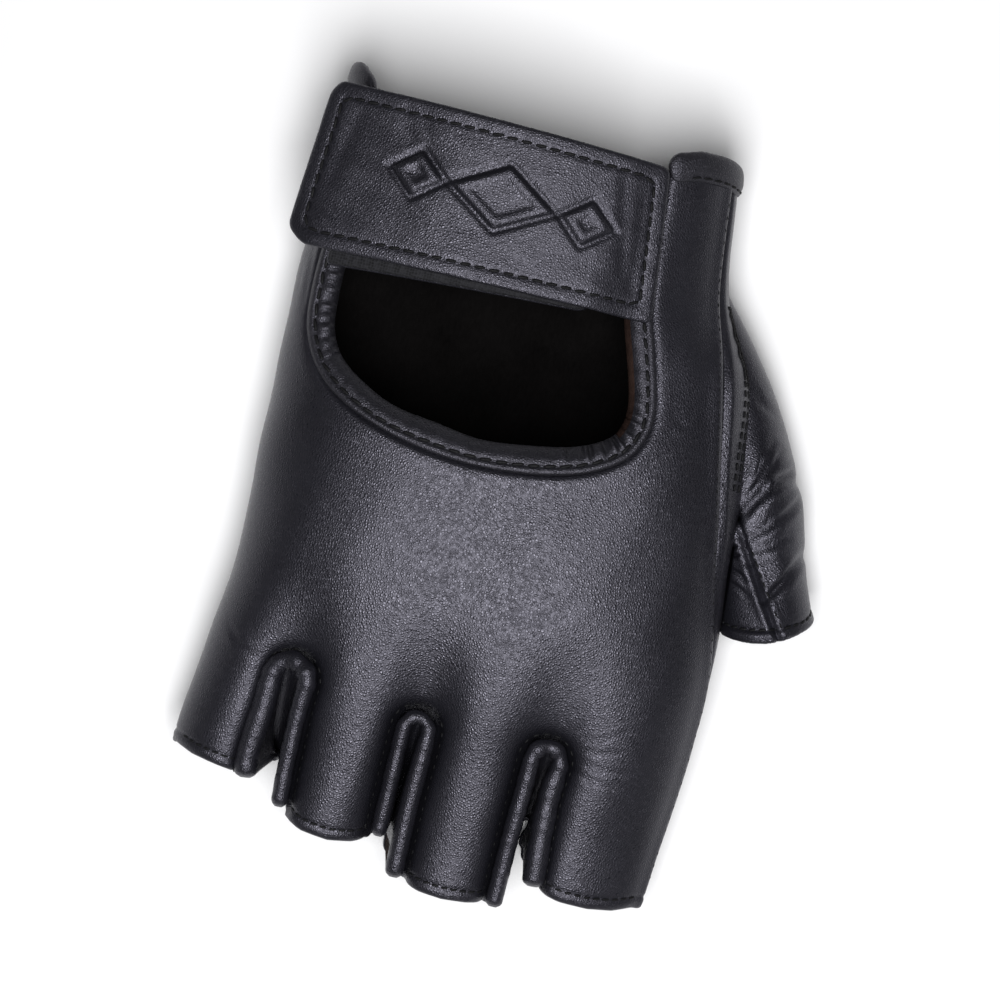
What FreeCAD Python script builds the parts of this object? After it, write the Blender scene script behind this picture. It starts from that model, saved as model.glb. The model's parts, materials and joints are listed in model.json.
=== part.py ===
"""A right-hand fingerless leather glove, lying on its palm.

+X points to the thumb side, +Y to the wrist, +Z to the back of the hand, and the fingers point
along -Y. Sizes are in millimetres and live in the spreadsheet "dims". The leather panels follow
one hollow form, whose cross-sections are superellipses given at a few stations along the hand.
"""

import FreeCAD, Part
import math
import os

from FreeCAD import Placement, Rotation, Vector

# ---------------------------------------------------------------- driving dimensions

STATIONS = ["wrist", "cuff", "palm", "web", "knuckle", "tip"]
STATION_COLUMNS = ["y", "ulnar", "radial", "top", "wide", "bottom", "lift"]
# Per station: place along the hand, outline on the little-finger and thumb sides, height of the
# back, height of the widest line, height of the palm side, and the radial seam's lift in degrees.
STATION_SIZES = {
    "wrist": (74, -44.8, 36, 38, 18, 2.0, 14),
    "cuff": (52, -44.9, 40, 38.5, 18, 0.6, 17),
    "palm": (34, -44.7, 49.4, 39.6, 18, -0.4, 30),
    "web": (6, -43.2, 53.4, 41.5, 18, -0.5, 22),
    "knuckle": (-30, -42.6, 56.2, 39, 17, -0.5, 6),
    "tip": (-82, -46.6, 54, 26.5, 14, 1.9, 3),
}

FINGERS = ["little", "ring", "middle", "index"]
FINGER_ENDS = {"little": -63.5, "ring": -71, "middle": -77.5, "index": -71}
SLITS = ["ring_little", "middle_ring", "index_middle"]
SLIT_COLUMNS = ["x", "y", "spacing", "tilt", "left_end", "right_end"]
# Per slit between two fingers: centre, crotch, space between its rolled edges, downward slope of
# those edges in degrees, and where its left and right edges end.
SLIT_SIZES = {
    "ring_little": (-26.3, -39, 7.0, 11, -65.2, -69.2),
    "middle_ring": (1.9, -44, 4.9, 12, -69.8, -76.6),
    "index_middle": (28.4, -42.5, 5.6, 12, -77.2, -71.4),
}
THUMB_STATIONS = ["root", "mound", "crotch", "end"]
THUMB_COLUMNS = ["y", "x", "z", "half", "tall", "seam"]
# Per station of the thumb sleeve: place along the hand, centre, half width, half height, and the
# angle of its upper seam.
THUMB_SIZES = {
    "root": (54, 36.5, 15, 3, 4, 61),
    "mound": (30, 48.8, 11.5, 9.7, 10.6, 61),
    "crotch": (10, 57.4, 11.9, 10.0, 11.2, 61),
    "end": (-16, 65.8, 12.2, 9.9, 10.9, 112),
}

PLAIN_SIZES = [
    ("leather", 1.2, "thickness of the glove leather"),
    ("gap", 0.1, "space between two sewn pieces"),
    ("dorsal_power", 2.5, "roundness of the back"),
    ("ulnar_power", 3, "roundness of the palm's little-finger side"),
    ("radial_power", 2.1, "roundness of the palm's thumb side"),
    ("valley_depth", 6, "how far the back dips between two fingers"),
    ("valley_spread", 7, "half width of that dip"),
    ("valley_from", -10, "where the dips begin"),
    ("valley_full", -50, "where the dips are at full depth"),
    ("roll_radius", 2, "rolled top edge of a sidewall"),
    ("roll_sink", 1, "how far the rolled edge's middle lies below the leather"),
    ("wall_depth", 60, "sidewalls are made this deep and trimmed at the palm"),
    ("wall_foot", 1.4, "height of the sidewalls' lower edge"),
    ("slit_end", -90, "slit cutters run past the finger ends"),
    ("binding_width", 6, "visible width of the opening's binding"),
    ("binding_drop", 3.5, "how far the binding's inner edge lies below the leather"),
    ("binding_thick", 1.6, "thickness of the binding"),
    ("panel_edge", 73.5, "wrist edge of the leather panels"),
    ("band_edge", 79.5, "outer edge of the wrist binding"),
    ("band_proud", 0.9, "how far the wrist binding stands off the leather"),
    ("thumb_rim_x", 63, "a point on the plane of the thumb's end"),
    ("thumb_rim_y", -8.5, "a point on the plane of the thumb's end"),
    ("thread_width", 0.8, "width of a stitch line"),
    ("thread_height", 0.45, "height of a stitch line"),
    ("stitch_margin", 2, "distance of a stitch line from its edge"),
    ("valley_clearance", 0.15, "extra space under a stitch line that crosses a valley"),
    ("strap_x", -5, "middle of the strap's arch"),
    ("strap_y", 58, "middle of the strap along the hand"),
    ("strap_axis", -60.9, "height of the axis of the strap's arch"),
    ("strap_slope", -1.5, "slope of the strap along the hand, degrees"),
    ("strap_left", -43.3, "free end of the strap"),
    ("strap_right", 28.9, "sewn end of the strap"),
    ("strap_slant", 2.2, "half the slant of the sewn end"),
    ("strap_back", 15.9, "wrist edge of the strap"),
    ("strap_front", -17, "front edge of the strap at its free end"),
    ("strap_taper", 2.2, "how much narrower the sewn end is"),
    ("strap_clip", 2.5, "clipped corners of the free end"),
    ("tab_under", 98.3, "radius of the tab's underside"),
    ("tab_top", 99.5, "radius of the tab leather's top"),
    ("loop_under", 99.6, "radius of the loop tape's underside"),
    ("loop_top", 101, "radius of the loop tape's top"),
    ("hook_under", 101.3, "radius of the hook tape's underside"),
    ("hook_top", 102.5, "radius of the hook tape's top"),
    ("backing_under", 102.6, "radius of the strap backing's underside"),
    ("backing_top", 103.6, "radius of the strap backing's top"),
    ("strap_under", 103.7, "radius of the strap leather's underside"),
    ("strap_top", 104.9, "radius of the strap leather's top"),
    ("stitch_under", 105, "radius of the strap stitches' underside"),
    ("stitch_top", 105.45, "radius of the strap stitches' top"),
    ("hook_left", -38, "left end of the hook tape"),
    ("hook_right", 12, "right end of the hook tape"),
    ("hook_half", 12, "half width of the hook tape"),
    ("tab_left", -33.3, "sewn end of the closure tab, at its finger side"),
    ("tab_lean", 2.5, "how far the sewn end leans away from the opening's edge at the wrist side"),
    ("tab_right", 18.6, "free end of the closure tab"),
    ("tab_front", -19.4, "front edge of the tab at its sewn end"),
    ("tab_back", 12.5, "wrist edge of the tab"),
    ("tab_rise", 3.7, "how far the tab's front edge runs back under the strap"),
    ("tab_clip", 2, "clipped corners of the tab"),
    ("loop_margin", 1, "tab leather left bare round the loop tape"),
]

# The opening in the back, from the wrist round the hand and back to the wrist.
OPENING_OUTLINE = [
    (-39.5, 84), (-40.5, 56), (-41, 34), (-36, 18), (-22, 9.3), (-2, 6.6),
    (18, 10), (29.5, 18.5), (30.5, 30), (25.5, 46), (22.5, 62), (20.5, 84),
]
# The binding's section across the opening's edge: share of the width, ridge, share of the drop.
BINDING_SECTION = [(0, 0.3, 0), (0.2, 0.4, 0), (0.37, 0.1, 0.1), (0.55, 0, 0.4), (0.78, 0, 0.7), (1, 0, 1)]
GROOVE_SHARE = 0.37

ACROSS_POINTS = 81
ALONG_POINTS = 45

doc = FreeCAD.newDocument("fingerless_glove")
dims = doc.addObject("Spreadsheet::Sheet", "dims")


def table_rows(prefix, table, names, columns, note):
    return [
        (f"{prefix}{name}_{column}", value, note)
        for name in names
        for column, value in zip(columns, table[name])
    ]


def fill_sheet():
    """Every driving dimension as a plain number in a cell with an alias."""
    rows = table_rows("", STATION_SIZES, STATIONS, STATION_COLUMNS, "hand station")
    rows += table_rows("", SLIT_SIZES, SLITS, SLIT_COLUMNS, "slit between two fingers")
    rows += table_rows("thumb_", THUMB_SIZES, THUMB_STATIONS, THUMB_COLUMNS, "thumb station")
    rows += [(f"{finger}_end", FINGER_ENDS[finger], "end of the finger") for finger in FINGERS]
    rows += PLAIN_SIZES
    for number, (alias, value, note) in enumerate(rows, start=1):
        dims.set(f"A{number}", alias)
        dims.set(f"B{number}", str(value))
        dims.setAlias(f"B{number}", alias)
        dims.set(f"C{number}", note)
    doc.recompute()


def size(alias):
    return float(dims.get(alias))


# ---------------------------------------------------------------- the hollow form


def smooth(share):
    share = min(max(share, 0.0), 1.0)
    return share * share * (3 - 2 * share)


def curve_value(points, at):
    """A smooth curve through (place, value) points, which are in falling order of place."""
    if at >= points[0][0]:
        first, second = points[0], points[1]
        return first[1] + (at - first[0]) * (second[1] - first[1]) / (second[0] - first[0])
    if at <= points[-1][0]:
        return points[-1][1]
    index = next(i for i in range(len(points) - 1) if points[i + 1][0] <= at)
    (place_a, value_a), (place_b, value_b) = points[index], points[index + 1]

    def slope(i):
        before, after = points[max(i - 1, 0)], points[min(i + 1, len(points) - 1)]
        return (after[1] - before[1]) / (after[0] - before[0])

    span = place_b - place_a
    part = (at - place_a) / span
    square, cube = part * part, part * part * part
    return (
        (2 * cube - 3 * square + 1) * value_a
        + (cube - 2 * square + part) * span * slope(index)
        + (3 * square - 2 * cube) * value_b
        + (cube - square) * span * slope(index + 1)
    )


def hand_value(column, y):
    return curve_value([(size(f"{s}_y"), size(f"{s}_{column}")) for s in STATIONS], y)


def thumb_value(column, y):
    points = [(size(f"thumb_{s}_y"), size(f"thumb_{s}_{column}")) for s in THUMB_STATIONS]
    return curve_value(points, y)


def signed_power(base, power):
    return math.copysign(abs(base) ** power, base)


def valley(x, y):
    """How far the back dips at this place, in the hollows between the fingers."""
    ramp = smooth((size("valley_from") - y) / (size("valley_from") - size("valley_full")))
    spread = size("valley_spread")
    dips = sum(math.exp(-(((x - size(f"{s}_x")) / spread) ** 2)) for s in SLITS)
    return size("valley_depth") * ramp * dips


def form_point(y, angle):
    """A point of the outer form: 0 is the little-finger side, 90 the back, 180 the thumb side."""
    turn = math.radians(angle)
    across, up = math.cos(turn), math.sin(turn)
    ulnar, radial = hand_value("ulnar", y), hand_value("radial", y)
    middle, half = (ulnar + radial) / 2, (radial - ulnar) / 2
    wide = hand_value("wide", y)
    if up >= 0:
        power = size("dorsal_power")
        tall = hand_value("top", y) - wide
    else:
        power = size("ulnar_power") if across > 0 else size("radial_power")
        tall = wide - hand_value("bottom", y)
    x = middle - half * signed_power(across, 2 / power)
    z = wide + tall * signed_power(up, 2 / power)
    if up > 0:
        z -= valley(x, y) * up
    return Vector(x, y, z)


def thumb_point(y, angle):
    """A point of the thumb sleeve: 0 faces the hand, 90 is up, 180 is away from the hand."""
    turn = math.radians(angle)
    x = thumb_value("x", y) - thumb_value("half", y) * math.cos(turn)
    z = thumb_value("z", y) + thumb_value("tall", y) * math.sin(turn)
    return Vector(x, y, z)


def normal_in(point_at, y, angle):
    """The surface's unit normal towards the inside."""
    step = 0.5
    around = point_at(y, angle + step) - point_at(y, angle - step)
    along = point_at(y + step, angle) - point_at(y - step, angle)
    normal = along.cross(around)
    normal.normalize()
    return normal


def inset_point(point_at, y, angle, depth):
    return point_at(y, angle) + normal_in(point_at, y, angle) * depth


def outset_in_section(point_at, y, angle, distance):
    """A point moved outwards without leaving its cross-section."""
    outward = normal_in(point_at, y, angle) * -1
    outward.y = 0
    outward.normalize()
    return point_at(y, angle) + outward * distance


def back_angle(x, y):
    """The angle at which the back of the form reaches x."""
    low, high = 0.0, 180.0
    for _ in range(40):
        middle = (low + high) / 2
        if form_point(y, middle).x < x:
            low = middle
        else:
            high = middle
    return (low + high) / 2


def seam_angle(y):
    return 180 - hand_value("lift", y)


def spaced(start, end, count):
    return [start + (end - start) * i / (count - 1) for i in range(count)]


# ---------------------------------------------------------------- solids from point grids


def even_knots(count):
    """Knots and multiplicities of a cubic spline over count poles, clamped at both ends."""
    inner = count - 4
    return [float(i) for i in range(inner + 2)], [4] + [1] * inner + [4]


def surface_over(rows):
    """A smooth surface that hugs a grid of points and keeps the grid's edges in their planes."""
    u_knots, u_mults = even_knots(len(rows))
    v_knots, v_mults = even_knots(len(rows[0]))
    surface = Part.BSplineSurface()
    surface.buildFromPolesMultsKnots(rows, u_mults, v_mults, u_knots, v_knots, False, False, 3, 3)
    return surface


def curve_through(points):
    curve = Part.BSplineCurve()
    curve.interpolate(points)
    return curve


def closed_solid(faces):
    shell = Part.makeShell(faces)
    shell.sewShape()
    solid = Part.makeSolid(shell)
    if solid.Volume < 0:
        solid.reverse()
    return solid


def add_shape(name, shape):
    feature = doc.addObject("Part::Feature", name)
    feature.Shape = shape
    return feature


def sheet_solid(name, outer_rows, inner_rows):
    """A closed sheet between two surfaces whose points have the same layout."""
    outer, inner = surface_over(outer_rows), surface_over(inner_rows)
    faces = [outer.toShape(), inner.toShape()]
    u_first, u_last, v_first, v_last = outer.bounds()
    for end in (u_first, u_last):
        faces.append(Part.makeRuledSurface(outer.uIso(end).toShape(), inner.uIso(end).toShape()))
    for end in (v_first, v_last):
        faces.append(Part.makeRuledSurface(outer.vIso(end).toShape(), inner.vIso(end).toShape()))
    return add_shape(name, closed_solid(faces))


def tube_solid(name, point_at, outset, first_y, last_y):
    """A filled tube a little larger than the surface given by point_at."""
    faces, ends = [], [[], []]
    for low, high in ((0, 180), (180, 360)):
        rows = [
            [outset_in_section(point_at, y, angle, outset) for angle in spaced(low, high, ACROSS_POINTS)]
            for y in spaced(first_y, last_y, ALONG_POINTS)
        ]
        surface = surface_over(rows)
        faces.append(surface.toShape())
        u_first, u_last = surface.bounds()[:2]
        ends[0].append(surface.uIso(u_first).toShape())
        ends[1].append(surface.uIso(u_last).toShape())
    for pair, y in zip(ends, (first_y, last_y)):
        plane = Part.Plane(Vector(0, y, 0), Vector(0, 1, 0))
        faces.append(Part.Face(plane, Part.Wire(Part.__sortEdges__(pair))))
    return add_shape(name, closed_solid(faces))


def thread_solid(name, points, normals):
    """A stitch line: a thin flat cord that lies along the points, just clear of the leather."""
    half, low = size("thread_width") / 2, size("gap")
    high = low + size("thread_height")
    corners = [[], [], [], []]
    for i, (point, normal) in enumerate(zip(points, normals)):
        ahead = points[min(i + 1, len(points) - 1)] - points[max(i - 1, 0)]
        side = ahead.cross(normal)
        side.normalize()
        corners[0].append(point + normal * low - side * half)
        corners[1].append(point + normal * low + side * half)
        corners[2].append(point + normal * high + side * half)
        corners[3].append(point + normal * high - side * half)
    edges = [curve_through(line).toShape() for line in corners]
    faces = [Part.makeRuledSurface(edges[i], edges[(i + 1) % 4]) for i in range(4)]
    for end in (0, -1):
        loop = [line[end] for line in corners]
        faces.append(Part.Face(Part.makePolygon(loop + loop[:1])))
    return add_shape(name, closed_solid(faces))


def surface_thread(name, point_at, places, lift=0.0):
    """A stitch line on a surface through (y, angle) places, raised by lift."""
    points, normals = [], []
    for y, angle in places:
        normal = normal_in(point_at, y, angle) * -1
        points.append(point_at(y, angle) + normal * lift)
        normals.append(normal)
    return thread_solid(name, points, normals)


def back_thread(name, plan):
    """A stitch line on the back through (x, y) places, clear of the valley that it crosses."""
    places = [(y, back_angle(x, y)) for x, y in plan]
    return surface_thread(name, form_point, places, size("valley_clearance"))


# ---------------------------------------------------------------- cutters


def combine(kind, name, base, tool):
    """A Part::Cut or Part::Common of two document objects."""
    result = doc.addObject(kind, name)
    result.Base = base
    result.Tool = tool
    return result


def fuse(name, shapes):
    result = doc.addObject("Part::MultiFuse", name)
    result.Shapes = shapes
    return result


def box(name, corner, length, width, height):
    """A box whose x and y sizes and place may be expressions."""
    block = doc.addObject("Part::Box", name)
    block.setExpression("Placement.Base.x", str(corner[0]))
    block.setExpression("Placement.Base.y", str(corner[1]))
    block.setExpression("Placement.Base.z", str(corner[2]))
    block.setExpression("Length", str(length))
    block.setExpression("Width", str(width))
    block.setExpression("Height", str(height))
    return block


def slit_cutter(label, slit, extra):
    """A slot with a round end at the crotch, wider than the slit's spacing by extra on each side."""
    half = f"dims.{slit}_spacing / 2 + {extra}"
    corner = (f"dims.{slit}_x - ({half})", "dims.slit_end", -10)
    bar = box(f"{label}_{slit}_bar", corner, f"2 * ({half})", f"dims.{slit}_y - dims.slit_end", 70)
    end = doc.addObject("Part::Cylinder", f"{label}_{slit}_end")
    end.setExpression("Radius", half)
    end.setExpression("Height", "70")
    end.setExpression("Placement.Base.x", f"dims.{slit}_x")
    end.setExpression("Placement.Base.y", f"dims.{slit}_y")
    end.setExpression("Placement.Base.z", "-10")
    return [bar, end]


def finger_cutter(label, extra):
    """Everything cut away from a panel between the fingers and beyond their ends."""
    edges = ["-70"] + [f"dims.{slit}_x" for slit in SLITS] + ["70"]
    pieces = []
    for finger, left, right in zip(FINGERS, edges, edges[1:]):
        corner = (left, "dims.slit_end", -10)
        length, width = f"{right} - ({left})", f"dims.{finger}_end - dims.slit_end"
        pieces.append(box(f"{label}_{finger}_trim", corner, length, width, 70))
    for slit in SLITS:
        pieces += slit_cutter(label, slit, extra)
    return fuse(f"{label}_finger_cutter", pieces)


def plan_prism(name, face, low, high):
    lowered = face.copy()
    lowered.translate(Vector(0, 0, low))
    return add_shape(name, lowered.extrude(Vector(0, 0, high - low)))


def polygon_face(outline):
    corners = [Vector(x, y, 0) for x, y in outline]
    return Part.Face(Part.makePolygon(corners + corners[:1]))


# ---------------------------------------------------------------- leather panels


def panel_blank(name, first_angle, last_angle, end_y):
    """A curved sheet of leather between two angles of the form, which change along the hand."""
    outer, inner = [], []
    for y in spaced(size("panel_edge"), end_y, ALONG_POINTS):
        angles = spaced(first_angle(y), last_angle(y), ACROSS_POINTS)
        outer.append([form_point(y, angle) for angle in angles])
        inner.append([inset_point(form_point, y, angle, size("leather")) for angle in angles])
    return sheet_solid(name, outer, inner)


def opening_curve():
    return curve_through([Vector(x, y, 0) for x, y in OPENING_OUTLINE])


def back_panel():
    blank = panel_blank("back_blank", lambda y: 0.1, lambda y: seam_angle(y) - 0.3, size("tip_y"))
    first, last = [Vector(*OPENING_OUTLINE[i], 0) for i in (0, -1)]
    outline = Part.Wire(Part.__sortEdges__([opening_curve().toShape(), Part.makeLine(last, first)]))
    cutter = plan_prism("opening_cutter", Part.Face(outline), 8, 60)
    open_back = combine("Part::Cut", "open_back", blank, cutter)
    fingers = finger_cutter("back", "dims.roll_radius + dims.gap")
    return combine("Part::Cut", "back_panel", open_back, fingers)


def palm_panel(thumb_core):
    blank = panel_blank("palm_blank", lambda y: seam_angle(y) + 0.3, lambda y: 359.95, size("tip_y"))
    with_thumb_hole = combine("Part::Cut", "palm_with_thumb_hole", blank, thumb_core)
    fingers = finger_cutter("palm", "dims.leather / 2 + dims.gap")
    with_fingers = combine("Part::Cut", "palm_with_fingers", with_thumb_hole, fingers)
    floor = box("floor_box", (-100, -120, -20), 200, 240, 20)
    return combine("Part::Cut", "palm_panel", with_fingers, floor)


def sidewall_path(slit, side):
    """The path of a sidewall's upper edge: up one side of the slit, round its crotch and down."""
    radius = size(f"{slit}_spacing") / 2 + side
    slope = math.cos(math.radians(size(f"{slit}_tilt")))
    left = (size(f"{slit}_y") - size(f"{slit}_left_end")) / slope
    right = (size(f"{slit}_y") - size(f"{slit}_right_end")) / slope
    start, end = Vector(-radius, -left, 0), Vector(radius, -right, 0)
    turn_in, turn_out, top = Vector(-radius, 0, 0), Vector(radius, 0, 0), Vector(0, radius, 0)
    return [
        Part.LineSegment(start, turn_in),
        Part.Arc(turn_in, top, turn_out),
        Part.LineSegment(turn_out, end),
    ]


def new_sketch(body, name, plane, offset=0.0):
    sketch = body.newObject("Sketcher::SketchObject", name)
    support = next(f for f in body.Origin.OriginFeatures if f.Role == plane)
    sketch.AttachmentSupport = [(support, "")]
    sketch.MapMode = "FlatFace"
    sketch.AttachmentOffset = Placement(Vector(0, 0, offset), Rotation())
    return sketch


def sidewall(slit):
    """A leather wall bent round the crotch, straight down to the palm, with a rolled upper edge."""
    body = doc.addObject("PartDesign::Body", f"{slit}_wall_body")
    half_wall = size("leather") / 2
    band = new_sketch(body, f"{slit}_wall_band", "XY_Plane")
    outer, inner = sidewall_path(slit, half_wall), sidewall_path(slit, -half_wall)
    for line in outer + inner:
        band.addGeometry(line)
    for a, b in ((outer[0].StartPoint, inner[0].StartPoint), (outer[2].EndPoint, inner[2].EndPoint)):
        band.addGeometry(Part.LineSegment(a, b))
    doc.recompute()
    wall = body.newObject("PartDesign::Pad", f"{slit}_wall")
    wall.Profile = band
    tilt = math.radians(size(f"{slit}_tilt"))
    wall.UseCustomVector = True
    wall.Direction = Vector(0, -math.sin(tilt), -math.cos(tilt))
    wall.setExpression("Length", "dims.wall_depth")
    doc.recompute()

    path = new_sketch(body, f"{slit}_roll_path", "XY_Plane")
    for line in sidewall_path(slit, 0):
        path.addGeometry(line)
    start = sidewall_path(slit, 0)[0].StartPoint
    ring = new_sketch(body, f"{slit}_roll_section", "XZ_Plane", -start.y)
    centre = Vector(start.x, 0, 0)
    ring.addGeometry(Part.Circle(centre, Vector(0, 0, 1), size("roll_radius")))
    doc.recompute()
    roll = body.newObject("PartDesign::AdditivePipe", f"{slit}_roll")
    roll.Profile = ring
    roll.Spine = (path, ["Edge1", "Edge2", "Edge3"])
    body.Tip = roll

    crotch = form_point(size(f"{slit}_y"), back_angle(size(f"{slit}_x"), size(f"{slit}_y")))
    body.setExpression("Placement.Base.x", f"dims.{slit}_x")
    body.setExpression("Placement.Base.y", f"dims.{slit}_y")
    body.setExpression("Placement.Base.z", f"{crotch.z} - dims.roll_sink")
    body.Placement.Rotation = Rotation(Vector(1, 0, 0), size(f"{slit}_tilt"))
    floor = box(f"{slit}_foot_box", (-100, -120, -60), 200, 240, "60 + dims.wall_foot")
    return combine("Part::Cut", f"sidewall_{slit}", body, floor)


def thumb_end_plane():
    """A point of the plane at the thumb sleeve's end, and the outward normal there."""
    normal = Vector(0.3, -0.9, -0.33)
    normal.normalize()
    return Vector(size("thumb_rim_x"), size("thumb_rim_y"), size("thumb_end_z")), normal


def thumb_end_y(angle, inside):
    """Where the thumb sleeve's line at this angle is the given distance inside its end plane."""
    point, normal = thumb_end_plane()
    low, high = size("thumb_rim_y") - 20, size("thumb_rim_y") + 20
    for _ in range(40):
        middle = (low + high) / 2
        if (thumb_point(middle, angle) - point).dot(normal) > -inside:
            low = middle
        else:
            high = middle
    return (low + high) / 2


def thumb_half(name, first_angle, last_angle, hand_core):
    """One of the two leather halves of the thumb sleeve, outside the hand's form."""
    outer, inner = [], []
    for y in spaced(size("thumb_root_y"), size("thumb_end_y"), ALONG_POINTS):
        angles = spaced(first_angle(y), last_angle(y), ACROSS_POINTS)
        outer.append([thumb_point(y, angle) for angle in angles])
        inner.append([inset_point(thumb_point, y, angle, size("leather")) for angle in angles])
    blank = sheet_solid(f"{name}_blank", outer, inner)
    outside = combine("Part::Cut", f"{name}_outside", blank, hand_core)
    point, normal = thumb_end_plane()
    end_box = doc.addObject("Part::Box", f"{name}_end_box")
    end_box.setExpression("Length", "60")
    end_box.setExpression("Width", "60")
    end_box.setExpression("Height", "40")
    aim = Placement(point, Rotation(Vector(0, 0, 1), normal))
    end_box.Placement = aim.multiply(Placement(Vector(-30, -30, 0), Rotation()))
    return combine("Part::Cut", name, outside, end_box)


def thumb_seam(y):
    return thumb_value("seam", y)


# ---------------------------------------------------------------- bindings


def opening_places(count):
    """Points on the opening's edge, up to the wrist edge of the panels, and the way into the hole."""
    curve = opening_curve()
    ends = []
    whole = curve.LastParameter
    for low, high in ((0.0, 0.3 * whole), (whole, 0.7 * whole)):
        for _ in range(40):
            middle = (low + high) / 2
            if curve.value(middle).y > size("panel_edge") - size("gap"):
                low = middle
            else:
                high = middle
        ends.append(high)
    places = []
    for parameter in spaced(ends[0], ends[1], count):
        along = curve.tangent(parameter)[0]
        places.append((curve.value(parameter), Vector(-along.y, along.x, 0)))
    return places


def binding_point(edge, inward, share, ridge, drop):
    plan = edge + inward * (size("gap") + share * size("binding_width"))
    angle = back_angle(plan.x, plan.y)
    out = normal_in(form_point, plan.y, angle) * -1
    point = form_point(plan.y, angle) + Vector(0, 0, ridge - drop * size("binding_drop"))
    return point, out


def opening_binding():
    top, under = [], []
    for edge, inward in opening_places(81):
        pairs = [binding_point(edge, inward, *section) for section in BINDING_SECTION]
        top.append([point for point, _ in pairs])
        under.append([point - out * size("binding_thick") for point, out in pairs])
    return sheet_solid("opening_binding", top, under)


def opening_thread():
    points, normals = [], []
    groove = next(section for section in BINDING_SECTION if section[0] == GROOVE_SHARE)
    for edge, inward in opening_places(81):
        point, out = binding_point(edge, inward, *groove)
        points.append(point + out * 0.15)
        normals.append(out)
    return thread_solid("opening_thread", points, normals)


def wrist_binding():
    """A rolled band along the wrist edge, from one side of the opening round the palm to the other."""
    outer, inner = [], []
    for share in spaced(0, 1, 9):
        y = size("panel_edge") + size("gap") + share * (size("band_edge") - size("panel_edge") - size("gap"))
        proud = size("band_proud") * math.sqrt(math.sin(math.pi * share)) if 0 < share < 1 else 0.0
        angles = spaced(back_angle(22.5, y), 360 + back_angle(-41, y), 121)
        outer.append([inset_point(form_point, y, angle, -proud) for angle in angles])
        inner.append([inset_point(form_point, y, angle, size("leather") + proud) for angle in angles])
    return sheet_solid("wrist_binding", outer, inner)


# ---------------------------------------------------------------- stitch lines


def wrist_thread():
    y = size("panel_edge") - size("stitch_margin")
    places = [(y, angle) for angle in spaced(back_angle(24.5, y), seam_angle(y) - 2, 31)]
    return surface_thread("wrist_thread", form_point, places)


def seam_threads():
    """Stitch lines on the back beside the two side seams."""
    shares = spaced(size("panel_edge") - 2 * size("stitch_margin"), size("little_end") + 3, 61)
    radial = [(y, seam_angle(y) - 2) for y in shares]
    ulnar = [(y, 3) for y in shares]
    return [
        surface_thread("radial_seam_thread", form_point, radial),
        surface_thread("ulnar_seam_thread", form_point, ulnar),
    ]


def thumb_threads():
    """Stitch lines beside the thumb's upper seam and round its end."""
    last = thumb_end_y(110, 1)
    seam = [(y, thumb_seam(y) + 8) for y in spaced(8, last, 25)]
    hem = [
        (thumb_end_y(angle, size("stitch_margin")), angle)
        for angle in spaced(thumb_seam(thumb_end_y(110, 2)) + 12, 262, 41)
    ]
    return [
        surface_thread("thumb_seam_thread", thumb_point, seam),
        surface_thread("thumb_hem_thread", thumb_point, hem),
    ]


def finger_edges():
    """The back's free span between the rolled edges, for each finger."""
    margin = size("roll_radius") + 1
    left_edges = [None] + [size(f"{s}_x") + size(f"{s}_spacing") / 2 + margin for s in SLITS]
    right_edges = [size(f"{s}_x") - size(f"{s}_spacing") / 2 - margin for s in SLITS] + [None]
    return zip(FINGERS, left_edges, right_edges)


def hem_threads():
    threads = []
    for finger, left, right in finger_edges():
        y = size(f"{finger}_end") + size("stitch_margin")
        low = 4 if left is None else back_angle(left, y)
        high = seam_angle(y) - 4 if right is None else back_angle(right, y)
        places = [(y, angle) for angle in spaced(low, high, 25)]
        threads.append(surface_thread(f"{finger}_hem_thread", form_point, places))
    return threads


def slit_thread(slit):
    """A stitch line on the back that follows one slit's edge."""
    radius = size(f"{slit}_spacing") / 2 + size("roll_radius") + size("gap") + 1.1
    x, y = size(f"{slit}_x"), size(f"{slit}_y")
    ends = [size(f"{slit}_{side}_end") + 5 for side in ("left", "right")]
    plan = [(x - radius, at) for at in spaced(ends[0], y, 15)]
    for turn in spaced(170, 10, 17):
        plan.append((x + radius * math.cos(math.radians(turn)), y + radius * math.sin(math.radians(turn))))
    plan += [(x + radius, at) for at in spaced(y, ends[1], 15)]
    return back_thread(f"{slit}_slit_thread", plan)


# ---------------------------------------------------------------- strap and closure tab


def strap_outline(inset):
    """The strap in plan, measured from the middle of its arch."""
    left, right = size("strap_left") + inset, size("strap_right") - inset
    slant = size("strap_slant")
    back, front = size("strap_back") - inset, size("strap_front") + inset
    clip = size("strap_clip")
    return [
        (right - slant, back),
        (left + clip / 2, back),
        (left, back - clip),
        (left, front + clip),
        (left + clip, front),
        (right + slant, front + size("strap_taper")),
    ]


def tab_outline(inset):
    """The closure tab in plan, measured from the same place as the strap."""
    left, right = size("tab_left") + inset, size("tab_right") - inset
    back, front, clip = size("tab_back") - inset, size("tab_front") + inset, size("tab_clip")
    rise = size("tab_rise")
    return [
        (left + size("tab_lean"), back),
        (left, front),
        (right - clip, front + rise),
        (right, front + rise + clip),
        (right, back - clip),
        (right - clip, back),
    ]


def hook_outline():
    left, right, half = size("hook_left"), size("hook_right"), size("hook_half")
    return [(left, -half), (right, -half), (right, half), (left, half)]


def cylinder_along_hand(name, radius_alias):
    """A cylinder about the axis of the strap's arch."""
    cylinder = doc.addObject("Part::Cylinder", name)
    cylinder.setExpression("Radius", f"dims.{radius_alias}")
    cylinder.setExpression("Height", "60")
    cylinder.Placement = Placement(Vector(0, 30, 0), Rotation(Vector(1, 0, 0), 90))
    return cylinder


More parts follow.
